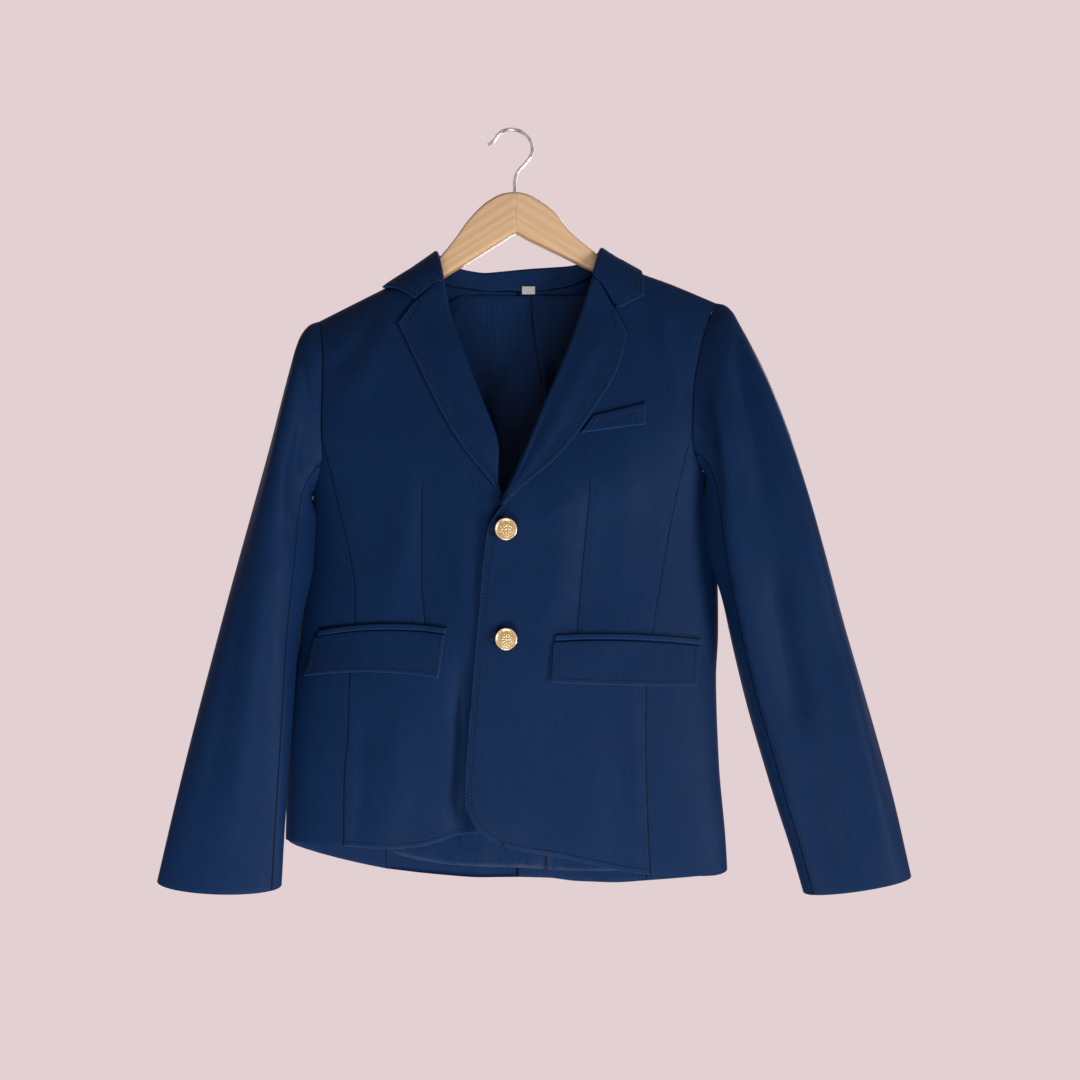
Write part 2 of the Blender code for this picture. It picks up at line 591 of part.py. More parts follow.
def cloth(name, outer, inner, look):
    """A closed sheet of cloth between two grids of points."""
    rows, columns = len(outer) - 1, len(outer[0]) - 1
    mesh = bmesh.new()
    tag = mesh.verts.layers.int.new("place")
    bmesh.ops.create_grid(mesh, x_segments=columns, y_segments=rows, size=0.5)
    for vert in mesh.verts:
        i = round((vert.co.x + 0.5) * columns)
        j = round((vert.co.y + 0.5) * rows)
        vert[tag] = j * (columns + 1) + i
        vert.co = outer[j][i]
    made = bmesh.ops.extrude_face_region(mesh, geom=mesh.faces[:])
    for vert in made["geom"]:
        if isinstance(vert, bmesh.types.BMVert):
            j, i = divmod(vert[tag], columns + 1)
            vert.co = inner[j][i]
    return finish(name, mesh, look)


def trim(points, gaps):
    """Draws each edge of a grid in along the cloth: gaps are left, right, top, bottom."""
    left, right, top, bottom = gaps
    rows = [list(line) for line in points]
    for line, source in zip(rows, points):
        line[0] = source[0] + (source[1] - source[0]).normalized() * left
        line[-1] = source[-1] + (source[-2] - source[-1]).normalized() * right
    for i in range(len(rows[0])):
        step = (points[1][i] - points[0][i]).normalized()
        rows[0][i] = rows[0][i] + step * top
        step = (points[-2][i] - points[-1][i]).normalized()
        rows[-1][i] = rows[-1][i] + step * bottom
    return rows


def panel(name, grid, look, gaps, wall=WALL):
    outer = [[point for point, _ in line] for line in grid]
    inner = [[point - normal * wall for point, normal in line] for line in grid]
    return cloth(name, trim(outer, gaps), trim(inner, gaps), look)


def lapel(name, side, look):
    """The facing, from its tail inside, round the roll line and out over the front."""
    rows, across = 12, 6
    roll, edge, notch = ROLL[side], LAPEL[side], NOTCH[side]
    sign = 1.0 if side == "R" else -1.0
    outer, inner = [], []
    middle = -WALL / 2
    for j in range(rows + 1):
        v = j / rows
        rx, rz = curve(roll, v, 1), curve(roll, v, 2)
        ex, ez = curve(edge, v, 1), curve(edge, v, 2)
        normal = skin_normal(rx + sign * 4.0, rz, side)
        start = Vector((rx, depth(rx, rz, side), rz))
        out = Vector((ex, depth(ex, ez, side), ez))
        along = out - start
        width = along.length
        along = (along - normal * along.dot(normal)).normalized()
        radius = ROLL_RADIUS + (0.8 * smooth(0.5, 0.8, v) if side == "R" else 0.0)
        tail = max(4.6, min(LAPEL_TAIL, width * 0.5)) if side == "R" else LAPEL_TAIL
        tail = tail if v < 0.95 else 4.6
        line_out, line_in = [], []
        centre = start + along * radius + normal * middle
        line_out.append(start + along * tail + normal * (middle - radius))
        line_in.append(start + along * tail + normal * (middle - radius + 2.0))
        for angle in (-90.0, -45.0, 0.0, 45.0, 90.0):
            c, s = math.cos(math.radians(angle)), math.sin(math.radians(angle))
            line_out.append(centre + (normal * s - along * c) * radius)
            line_in.append(centre + (normal * s - along * c) * (radius - 2.0))
        for i in range(1, across + 1):
            t = i / across
            x = rx + sign * radius * 1.0
            z = rz
            x, z = x + (ex - x) * t, z + (ez - z) * t
            if j == 0:
                bend = 1.0 - abs(2 * t - 1.0)
                x += (notch[0] - (rx + sign * radius + ex) / 2) * bend
                z += (notch[1] - (rz + ez) / 2) * bend
            puff = 1.6 * math.sin(math.pi * v) * math.sin(math.pi * min(1.0, t * 1.3)) ** 2
            line_out.append(place(x, z, side, 2.0 + LAYER + puff))
            line_in.append(place(x, z, side, LAYER + puff))
        outer.append(line_out)
        inner.append(line_in)
    return cloth(name, outer, inner, look)


def reach_of(x, z):
    """Distance down from the shoulder line, round the cloth."""
    fall = max(0.0, shoulder(x) - z)
    if fall < HEAD:
        return math.acos(1.0 - fall / HEAD) / (math.pi / 2) * HEAD_ARC
    return HEAD_ARC + fall - HEAD


def over(x, reach, height):
    """A point over the shoulder: reach > 0 runs down the front, < 0 down the back."""
    face = "B" if reach < 0 else ("R" if x > 0 else "L")
    far = abs(reach)
    if far < HEAD_ARC:
        fall = HEAD * (1.0 - math.cos(far / HEAD_ARC * math.pi / 2))
    else:
        fall = HEAD + far - HEAD_ARC
    return place(x, shoulder(x) - fall, face, height)


def collar_station(row):
    """A table row with its heights turned into distances over the shoulder."""
    (seam_x, seam_z, roll_x, roll_y, roll_z, corner_x, corner_z, edge_x, edge_z, side,
     rise) = row
    face = 1.0 if roll_y < 0 else -1.0
    seam = face * reach_of(seam_x, seam_z)
    edge = side * reach_of(edge_x, edge_z)
    if corner_x is None:
        corner_x = seam_x + (edge_x - seam_x) * 0.56
        corner = seam + (edge - seam) * 0.56
    else:
        corner = face * reach_of(corner_x, corner_z)
    return (seam_x, seam, roll_x, roll_y, roll_z, corner_x, corner, edge_x, edge, rise)


def collar_section(station):
    """Middle line of the collar at one station: stand, rolled fold, fall."""
    seam_x, seam, roll_x, roll_y, roll_z, corner_x, corner, edge_x, edge, rise = station
    foot = over(seam_x, seam, -1.0)
    roll = Vector((roll_x, roll_y, roll_z))
    fall = []
    for t in (0.12, 0.34, 0.56, 0.78, 1.0):
        if t <= 0.56:
            share = t / 0.56
            x, far = seam_x + (corner_x - seam_x) * share, seam + (corner - seam) * share
        else:
            share = (t - 0.56) / 0.44
            x, far = corner_x + (edge_x - corner_x) * share, corner + (edge - corner) * share
        height = 1.0 + LAYER + 0.25 + rise * (1 - t) ** 0.65
        fall.append(over(x, far, height))
    up = (roll - foot).normalized()
    away = fall[0] - roll
    away = (away - up * away.dot(up)).normalized()
    stand = foot + up * 1.4
    centre = roll - up * FOLD_RADIUS + away * FOLD_RADIUS
    line = [stand, stand + (roll - stand) * 0.4]
    for angle in (180.0, 135.0, 90.0, 45.0, 0.0):
        c, s = math.cos(math.radians(angle)), math.sin(math.radians(angle))
        line.append(centre + (away * c + up * s) * FOLD_RADIUS)
    return line + fall


def collar(name, look):
    """Collar: each station's section is stand, rolled edge and fall."""
    stations = [collar_station(row) for row in COLLAR]
    middle = [collar_section(stations[0])]
    last = len(stations) - 1
    for a in range(last):
        b = a + 1
        before, after = stations[max(0, a - 1)], stations[min(last, b + 1)]
        # closer together where the collar turns over the shoulders
        steps = 4 if a in (2, 3, 14, 15) else 2
        for step in range(1, steps + 1):
            t = step / steps
            row = []
            for p0, p1, p2, p3 in zip(before, stations[a], stations[b], after):
                row.append(0.5 * (2 * p1 + (p2 - p0) * t + (2 * p0 - 5 * p1 + 4 * p2 - p3) * t * t
                                  + (3 * p1 - p0 - 3 * p2 + p3) * t ** 3))
            middle.append(collar_section(row))
    rows, columns = len(middle), len(middle[0])
    outer, inner = [], []
    for j in range(rows):
        line_out, line_in = [], []
        for i in range(columns):
            du = middle[j][min(columns - 1, i + 1)] - middle[j][max(0, i - 1)]
            dv = middle[min(rows - 1, j + 1)][i] - middle[max(0, j - 1)][i]
            normal = dv.cross(du).normalized()
            line_out.append(middle[j][i] + normal)
            line_in.append(middle[j][i] - normal)
        outer.append(line_out)
        inner.append(line_in)
    return cloth(name, outer, inner, look)


def patch_piece(name, look):
    """A flap or a welt lying on a front."""
    side, top_in, top_out, low_out, low_in, top_sag, low_sag = FLAPS[name]
    is_flap = name.startswith("flap")
    columns, rows = 8, (3 if is_flap else 1)
    outer, inner = [], []
    for j in range(rows + 1):
        v = j / rows
        line_out, line_in = [], []
        for i in range(columns + 1):
            u = i / columns
            x = ((top_in[0] * (1 - u) + top_out[0] * u) * (1 - v)
                 + (low_in[0] * (1 - u) + low_out[0] * u) * v)
            z = ((top_in[1] * (1 - u) + top_out[1] * u) * (1 - v)
                 + (low_in[1] * (1 - u) + low_out[1] * u) * v)
            z += (top_sag * (1 - v) + low_sag * v) * 4 * u * (1 - u)
            height = LAYER + (1.4 * v if is_flap else 0.0)
            line_out.append(place(x, z, side, height + 2.0))
            line_in.append(place(x, z, side, height))
        outer.append(line_out)
        inner.append(line_in)
    return cloth(name, outer, inner, look)


def lining(name, look):
    """Satin over the inside of the back, from the neck seam to just above the hem."""
    columns, rows = 10, 10
    outer, inner = [], []
    for j in range(rows + 1):
        v = j / rows
        line_out, line_in = [], []
        for i in range(columns + 1):
            x = -148.0 + 292.0 * i / columns
            top = min(-153.5, shoulder(x) - 40.0)
            low = curve(((-160.0, -680.0), (-122.0, -692.0), (-69.0, -699.5), (3.0, -702.0),
                         (93.0, -705.5), (126.0, -704.0), (160.0, -702.0)), x)
            z = top + (low - top) * v
            narrow = 1.0 - 0.16 * smooth(-290.0, -520.0, z) if abs(x) > 1 else 1.0
            x = x * narrow
            line_out.append(place(x, z, "B", -WALL - LAYER))
            line_in.append(place(x, z, "B", -WALL - LAYER - 1.2))
        outer.append(line_out)
        inner.append(line_in)
    return cloth(name, outer, inner, look)


def label(name, look):
    """The white label at the foot of the stand, facing the neck."""
    outer, inner = [], []
    stand = over(13.0, -reach_of(13.0, -149.8), -1.0)
    for j in range(2):
        line_out, line_in = [], []
        for i in range(2):
            x = 6.8 + 12.6 * i
            z = -144.2 - 7.6 * j
            y = stand.y - 1.0 - 0.6 - 0.05 * (z + 151.8)
            line_out.append(Vector((x, y - 0.8, z)))
            line_in.append(Vector((x, y, z)))
        outer.append(line_out)
        inner.append(line_in)
    return cloth(name, outer, inner, look)


def button(name, look):
    x, z = BUTTONS[name]
    mesh = bmesh.new()
    verts = [mesh.verts.new((radius, 0.0, height)) for radius, height in BUTTON_PROFILE]
    edges = [mesh.edges.new(pair) for pair in zip(verts, verts[1:])]
    bmesh.ops.spin(mesh, geom=verts + edges, cent=(0, 0, 0), axis=(0, 0, 1),
                   angle=math.tau, steps=20, use_merge=True)
    bmesh.ops.remove_doubles(mesh, verts=mesh.verts[:], dist=0.001)
    normal = skin_normal(x, z, "R")
    turned = Vector((0, 0, 1)).rotation_difference(normal).to_matrix().to_4x4()
    bmesh.ops.transform(mesh, matrix=turned, verts=mesh.verts[:])
    bmesh.ops.translate(mesh, vec=place(x, z, "R", 2.2 + 0.35), verts=mesh.verts[:])
    return finish(name, mesh, look)


def hanger(name, look):
    """Two arms and a raised middle, with a round top edge and softened lower edges."""
    mesh = bmesh.new()
    loops = []
    stations = []
    for a, b in zip(HANGER, HANGER[1:]):
        stations += [a[0]]
    stations.append(HANGER[-1][0])
    for number, x in enumerate(stations):
        top, low = curve(HANGER, x, 1), curve(HANGER, x, 2)
        half = HANGER_HALF
        if number in (0, len(stations) - 1):
            half, top, low = 4.0, top - 2.0, low + 2.0
        profile = []
        for angle in range(0, 181, 30):
            c, s = math.cos(math.radians(angle)), math.sin(math.radians(angle))
            profile.append((half * c, top - half + half * s))
        profile += [(-half, low + 2.5), (-half + 2.2, low), (half - 2.2, low),
                    (half, low + 2.5)]
        loops.append([mesh.verts.new((x, y + HANGER_Y, z)) for y, z in profile])
    for a, b in zip(loops, loops[1:]):
        count = len(a)
        for i in range(count):
            mesh.faces.new((a[i], a[(i + 1) % count], b[(i + 1) % count], b[i]))
    mesh.faces.new(loops[0])
    mesh.faces.new(loops[-1])
    return finish(name, mesh, look)


def hook(name, look):
    """Bent wire: a smooth curve with a round section and capped ends."""
    data = bpy.data.curves.new(name + "_path", "CURVE")
    data.dimensions = "3D"
    line = data.splines.new("BEZIER")
    line.bezier_points.add(len(HOOK) - 1)
    for point, (x, z) in zip(line.bezier_points, HOOK):
        point.co = (x * MM, 0.0, z * MM)
        point.handle_left_type = "AUTO"
        point.handle_right_type = "AUTO"
    data.resolution_u = 4
    data.bevel_depth = WIRE / 2 * MM
    data.bevel_resolution = 2
    data.use_fill_caps = True
    guide = bpy.data.objects.new(name + "_path", data)
    bpy.context.scene.collection.objects.link(guide)
    bpy.context.view_layer.update()
    solid = bpy.data.meshes.new_from_object(guide.evaluated_get(
        bpy.context.evaluated_depsgraph_get()))
    bpy.data.objects.remove(guide)
    mesh = bmesh.new()
    mesh.from_mesh(solid)
    bmesh.ops.remove_doubles(mesh, verts=mesh.verts[:], dist=0.000001)
    bmesh.ops.scale(mesh, vec=(1 / MM, 1 / MM, 1 / MM), verts=mesh.verts[:])
    return finish(name, mesh, look)


def main():
    for old in list(bpy.data.objects):
        bpy.data.objects.remove(old)
    wool = (NAVY, 0.75)
    satin = (SATIN, 0.35)
    half = SEAM / 2
    names = {"R": "left", "L": "right"}
    for side, wearer in names.items():
        front = front_grid(side, 10)
        back = back_grid(side)
        side_panel = side_grid(side)
        ring = armhole(side, front, back, side_panel)
        panel("front_" + wearer, front, wool, (0.0, half, half, 0.0))
        panel("back_" + wearer, back, wool, (half, half, half, 0.0))
        panel("side_" + wearer, side_panel, wool, (half, half, half, 0.0))
        sleeve = sleeve_grid(side, ring)
        top = [[line[k % ROUND] for k in range(19, ROUND + 11)] for line in sleeve]
        under = [[line[k] for k in range(10, 20)] for line in sleeve]
        panel("sleeve_top_" + wearer, top, wool, (half, half, 0.0, 0.0))
        panel("sleeve_under_" + wearer, under, wool, (half, half, 0.0, 0.0))
        lapel("lapel_" + wearer, side, wool)
    collar("collar", wool)
    for name in FLAPS:
        patch_piece(name, wool)
    lining("lining_back", satin)
    label("neck_label", (WHITE, 0.6))
    for name in BUTTONS:
        button(name, (GOLD, 0.3, 1.0))
    hanger("hanger_wood", (WOOD, 0.45))
    hook("hanger_hook", (STEEL, 0.2, 1.0))


main()
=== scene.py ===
"""A child's school blazer on its wooden hanger: cloth, lining, buttons, stitching, wood and wire.

The tables are in millimetres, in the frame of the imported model: the origin is the inner top of
the hook's bend, +X is the wearer's left, the front faces -Y and +Z is up. Pieces are scaled to
metres when their mesh is finished.
"""
import math

import bmesh
import bpy
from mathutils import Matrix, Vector
from mathutils.bvhtree import BVHTree
from mathutils.kdtree import KDTree


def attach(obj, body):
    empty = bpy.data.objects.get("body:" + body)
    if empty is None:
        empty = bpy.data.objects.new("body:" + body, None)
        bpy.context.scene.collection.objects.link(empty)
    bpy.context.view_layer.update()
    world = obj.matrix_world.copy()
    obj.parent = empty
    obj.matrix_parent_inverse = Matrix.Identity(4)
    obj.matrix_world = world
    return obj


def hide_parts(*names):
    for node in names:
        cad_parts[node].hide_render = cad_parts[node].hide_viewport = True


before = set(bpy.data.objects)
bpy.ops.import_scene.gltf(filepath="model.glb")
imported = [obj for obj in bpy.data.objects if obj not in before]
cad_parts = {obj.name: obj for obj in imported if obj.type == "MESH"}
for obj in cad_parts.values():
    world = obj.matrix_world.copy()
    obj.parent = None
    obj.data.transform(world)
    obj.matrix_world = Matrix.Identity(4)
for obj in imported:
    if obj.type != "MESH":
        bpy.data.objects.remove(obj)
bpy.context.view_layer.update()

bl_info = {
    "name": "School blazer on a hanger",
    "version": (1, 0, 0),
    "blender": (4, 5, 0),
    "location": "3D View > Sidebar > Blazer",
    "description": "Builds a buttoned school blazer that hangs on a wooden hanger",
    "category": "Add Mesh",
}

MM = 0.001
WALL = 2.0          # shell cloth with its interlining and lining
LAYER = 0.6         # gap under a piece that lies on another
HEAD = 45.0         # height over which the front and the back round over to the shoulder line
HEAD_ARC = 53.0     # the same, measured round the cloth
FINE = 4            # points round the armhole and the sleeve for each one of the plain solid
ROUND = 24 * FINE
ARM_ROWS = 9 * FINE
SEAM_BEFORE = 10 * FINE     # the sleeve's seams, counted round it from its outermost point
SEAM_BEHIND = 19 * FINE
LOW_ROWS = 96
BACK_ACROSS = (0.0, 0.12, 0.22, 0.31, 0.39, 0.46, 0.6, 0.73, 0.87, 1.0)

# The body's cross-sections. front, back and fold are depths (y); the powers say how square the
# front half and the back half of the section are.
BODY_COLUMNS = ("z", "left", "right", "front", "back", "fold", "front_power", "back_power")
BODY = (
    (-100.0, -214.0, 210.0, -18.0, 16.0, 0.0, 3.0, 4.0),
    (-165.0, -210.0, 206.0, -21.0, 16.0, -1.0, 3.0, 4.0),
    (-215.0, -204.0, 196.0, -31.0, 16.0, -3.0, 3.0, 4.0),
    (-280.0, -199.0, 187.0, -40.0, 15.0, -5.0, 3.0, 3.8),
    (-310.0, -194.0, 182.0, -43.0, 15.0, -5.0, 2.6, 3.6),
    (-345.0, -190.5, 180.5, -45.0, 14.0, -1.0, 2.3, 3.4),
    (-380.0, -194.5, 187.5, -46.0, 14.0, 3.5, 2.0, 3.4),
    (-420.0, -199.5, 193.0, -46.0, 14.0, 5.5, 1.9, 3.4),
    (-480.0, -205.5, 195.0, -46.0, 14.0, 5.0, 1.95, 3.4),
    (-520.0, -209.5, 193.0, -45.0, 13.0, 1.5, 2.1, 3.4),
    (-600.0, -214.0, 194.0, -42.0, 12.5, -3.0, 2.3, 3.4),
    (-673.0, -217.0, 198.5, -38.0, 12.0, -6.0, 2.4, 3.4),
    (-720.0, -218.5, 201.0, -36.0, 12.0, -6.0, 2.4, 3.4),
)

# Shoulder lines: x, z, as if they went on and met over the neck.
SHOULDER = (
    (-225.0, -200.6), (-185.0, -180.4), (-95.0, -135.0), (-30.0, -102.2), (0.0, -89.0),
    (30.0, -95.0), (93.5, -122.0), (119.5, -134.6), (147.7, -145.0), (191.0, -163.0),
    (225.0, -177.5),
)

# How far the overlapping front stands off, by height.
OVERLAP = (
    (-230.0, 0.0), (-285.0, 1.4), (-320.0, 4.6), (-345.0, 6.4), (-380.0, 5.6),
    (-415.0, 3.8), (-480.0, 3.4), (-600.0, 6.0), (-650.0, 9.0), (-720.0, 9.5),
)

# Free edges of the fronts from the neck to the hem's corner: z, x.
EDGE = {
    "R": ((-121.6, 93.5), (-128.0, 87.5), (-141.0, 79.7), (-175.0, 68.4), (-209.6, 56.0),
          (-268.4, 31.5), (-322.9, 9.0), (-335.0, 3.0), (-345.0, -2.4), (-352.0, -6.8),
          (-358.0, -11.0), (-363.0, -14.8), (-370.0, -19.4), (-376.8, -22.8),
          (-390.7, -25.3), (-422.6, -28.6), (-460.8, -31.7), (-533.9, -38.2),
          (-588.1, -42.5), (-628.7, -44.0)),
    "L": ((-135.0, -95.0), (-139.0, -85.0), (-144.0, -77.0), (-151.0, -71.5),
          (-178.8, -64.8), (-218.2, -51.0), (-256.7, -36.0), (-296.6, -21.0),
          (-317.7, -16.4), (-328.0, -15.6), (-340.0, -12.6), (-350.0, -6.0), (-364.0, 4.5),
          (-380.0, 10.0),
          (-430.0, 12.0), (-480.0, 14.0), (-600.0, 12.0), (-625.0, 8.0)),
}

# Armhole and princess seam at the front, and armhole and side seam at the back: z, x.
FRONT_SEAM = {
    "R": ((-163.0, 191.0), (-184.0, 181.4), (-215.0, 172.6), (-244.5, 167.1),
          (-270.0, 165.6), (-284.0, 165.2), (-310.0, 159.4), (-357.6, 148.4),
          (-410.0, 139.0), (-472.0, 128.4), (-522.6, 122.3), (-571.6, 121.5),
          (-639.0, 123.2), (-697.0, 126.1)),
    "L": ((-180.4, -185.0), (-199.0, -180.1), (-222.5, -177.9), (-250.0, -178.0),
          (-275.0, -178.4), (-291.0, -178.2), (-315.0, -172.8), (-357.5, -162.8),
          (-410.1, -150.8), (-437.0, -147.0), (-465.0, -147.0), (-510.0, -151.5),
          (-572.0, -153.4), (-602.0, -156.4), (-670.6, -157.3)),
}
BACK_SEAM = {
    "R": ((-163.0, 191.0), (-184.0, 184.0), (-215.0, 177.5), (-250.0, 173.5),
          (-284.0, 171.0), (-340.0, 160.0), (-400.0, 146.0), (-470.0, 136.0),
          (-560.0, 130.0), (-714.0, 126.0)),
    "L": ((-180.4, -185.0), (-199.0, -182.0), (-225.0, -180.5), (-260.0, -180.5),
          (-291.0, -181.0), (-340.0, -168.0), (-400.0, -151.0), (-470.0, -139.0),
          (-550.0, -130.0), (-702.8, -122.6)),
}
PANEL_TOP = {"R": (-284.0, -330.0), "L": (-291.0, -345.0)}   # side panel: at its seams, lowest

# Hems. The fronts' run from the corner to the princess seam: share, x, z.
FRONT_HEM = {
    "R": ((0.0, -44.0, -628.7), (0.08, -36.0, -646.3), (0.17, -23.6, -659.0),
          (0.28, -6.0, -667.6), (0.39, 11.4, -672.2), (0.55, 41.3, -677.5),
          (0.72, 72.9, -686.0), (0.86, 101.2, -693.0), (1.0, 126.1, -697.0)),
    "L": ((0.0, 8.0, -625.0), (0.08, 0.0, -640.0), (0.2, -20.0, -652.0),
          (0.36, -51.0, -660.2), (0.58, -91.5, -670.5), (0.76, -116.5, -672.5),
          (1.0, -157.3, -670.6)),
}
SIDE_HEM = {
    "R": ((0.0, -697.0), (0.25, -701.0), (0.5, -698.0), (0.75, -705.0), (1.0, -714.0)),
    "L": ((0.0, -670.6), (0.25, -669.5), (0.5, -669.5), (0.75, -679.0), (1.0, -702.8)),
}
BACK_HEM = {
    "R": ((0.0, 3.0, -711.0), (0.23, 31.0, -711.6), (0.47, 60.5, -715.0),
          (0.73, 93.3, -716.0), (1.0, 126.0, -714.0)),
    "L": ((0.0, 3.0, -711.0), (0.29, -33.0, -711.2), (0.58, -69.0, -709.0),
          (1.0, -122.6, -702.8)),
}
# Top of the backs at the neck: share, x, z. From there the shoulder seam runs out to the armhole.
BACK_TOP = {
    "R": ((0.0, 4.0, -150.0), (0.17, 36.0, -147.6), (0.32, 66.0, -140.0), (0.42, 85.0, -127.0)),
    "L": ((0.0, 4.0, -150.0), (0.17, -30.0, -149.0), (0.32, -64.0, -144.0), (0.42, -86.0, -137.0)),
}
BACK_SHOULDER = {"R": (93.5, 191.0), "L": (-95.0, -185.0)}

# Sleeves, ring by ring from the armhole to the cuff: outer point, inner point, middle depth,
# half depth, and how much of the armhole's own shape the ring keeps.
SLEEVE = {
    "R": ((191.0, -163.0, 178.6, -330.0, -5.0, 21.0, 1.0),
          (198.3, -165.0, 180.4, -333.0, -6.0, 24.0, 0.80),
          (205.5, -171.6, 181.8, -338.0, -7.0, 27.0, 0.55),
          (213.1, -186.0, 183.0, -346.0, -8.0, 30.0, 0.30),
          (223.2, -206.2, 184.3, -359.0, -10.0, 32.0, 0.12),
          (236.9, -234.9, 186.0, -378.0, -11.0, 33.0, 0.0),
          (254.9, -280.0, 189.3, -408.0, -12.0, 33.0, 0.0),
          (272.3, -333.6, 196.5, -446.0, -12.0, 33.0, 0.0),
          (290.1, -395.9, 206.5, -493.0, -12.0, 32.0, 0.0),
          (307.9, -462.5, 219.5, -546.0, -12.0, 30.0, 0.0),
          (323.4, -516.5, 232.0, -590.0, -13.0, 28.0, 0.0),
          (338.9, -570.6, 245.5, -635.0, -14.0, 25.0, 0.0),
          (354.9, -629.7, 259.0, -677.0, -15.0, 22.0, 0.0),
          (371.4, -702.2, 271.0, -718.0, -16.0, 19.0, 0.0)),
    "L": ((-185.0, -180.4, -189.0, -345.0, -5.0, 21.0, 1.0),
          (-192.8, -183.7, -190.6, -348.0, -6.0, 24.0, 0.80),
          (-200.9, -193.6, -191.8, -353.0, -7.0, 27.0, 0.55),
          (-205.2, -206.4, -193.0, -361.0, -8.5, 30.0, 0.30),
          (-209.4, -224.5, -194.2, -373.0, -10.0, 32.0, 0.12),
          (-215.9, -252.5, -195.6, -392.0, -12.0, 34.0, 0.0),
          (-224.3, -288.3, -197.4, -417.0, -14.0, 36.0, 0.0),
          (-236.2, -333.8, -199.8, -447.0, -16.0, 36.0, 0.0),
          (-250.2, -386.0, -202.4, -482.0, -19.0, 34.0, 0.0),
          (-264.6, -439.9, -204.4, -522.0, -22.0, 31.0, 0.0),
          (-279.9, -499.4, -206.6, -566.0, -25.0, 27.0, 0.0),
          (-296.9, -565.5, -209.4, -612.0, -27.0, 22.0, 0.0),
          (-312.9, -631.4, -212.4, -662.0, -29.0, 17.5, 0.0),
          (-329.5, -702.7, -214.6, -707.0, -30.0, 13.0, 0.0)),
}
CUFF_DIP = {"R": (-1.0, -9.0), "L": (-7.0, -3.0)}   # how far the cuff's front and back hang lower

# Largest folds of the sleeves: round the sleeve (degrees, 0 outermost, 90 in front), spread,
# height, and the share of the length where the fold is at its fullest, and how long it runs.
FOLDS = {
    "R": ((100.0, 15.0, 3.0, 0.24, 0.18), (136.0, 15.0, 4.0, 0.54, 0.28),
          (60.0, 16.0, -3.5, 0.36, 0.18), (104.0, 18.0, -5.0, 0.63, 0.30),
          (44.0, 20.0, 4.0, 0.66, 0.36), (250.0, 24.0, -3.5, 0.45, 0.30),
          (300.0, 22.0, 3.0, 0.60, 0.30)),
    "L": ((112.0, 22.0, -3.5, 0.32, 0.24), (70.0, 22.0, 2.5, 0.40, 0.30),
          (262.0, 24.0, -3.5, 0.42, 0.28), (305.0, 20.0, 2.5, 0.62, 0.28)),
}

# Roll lines and lapel edges, from the gorge down: share, x, z.
ROLL = {
    "R": ((0.0, 73.3, -141.6), (0.31, 49.6, -209.6), (0.58, 24.8, -268.4),
          (0.83, 2.0, -322.9), (1.0, -13.6, -355.5)),
    "L": ((0.0, -65.6, -144.6), (0.17, -58.2, -178.8), (0.38, -44.4, -218.2),
          (0.58, -29.2, -256.7), (0.79, -14.3, -296.6), (1.0, -9.8, -325.0)),
}
LAPEL = {
    "R": ((0.0, 104.9, -197.5), (0.16, 97.1, -226.5), (0.42, 73.7, -268.4),
          (0.68, 41.2, -311.3), (0.93, 2.1, -345.7), (1.0, -7.4, -356.4)),
    "L": ((0.0, -107.0, -187.3), (0.25, -88.4, -224.7), (0.56, -66.9, -268.4),
          (0.79, -47.1, -301.2), (1.0, -15.8, -340.0)),
}
NOTCH = {"R": (94.6, -175.6), "L": (-91.8, -166.4)}
LAPEL_FOOT = {"R": -352.0, "L": -345.0}     # below it the front's own edge is stitched
ROLL_RADIUS = 3.6
LAPEL_TAIL = 9.0

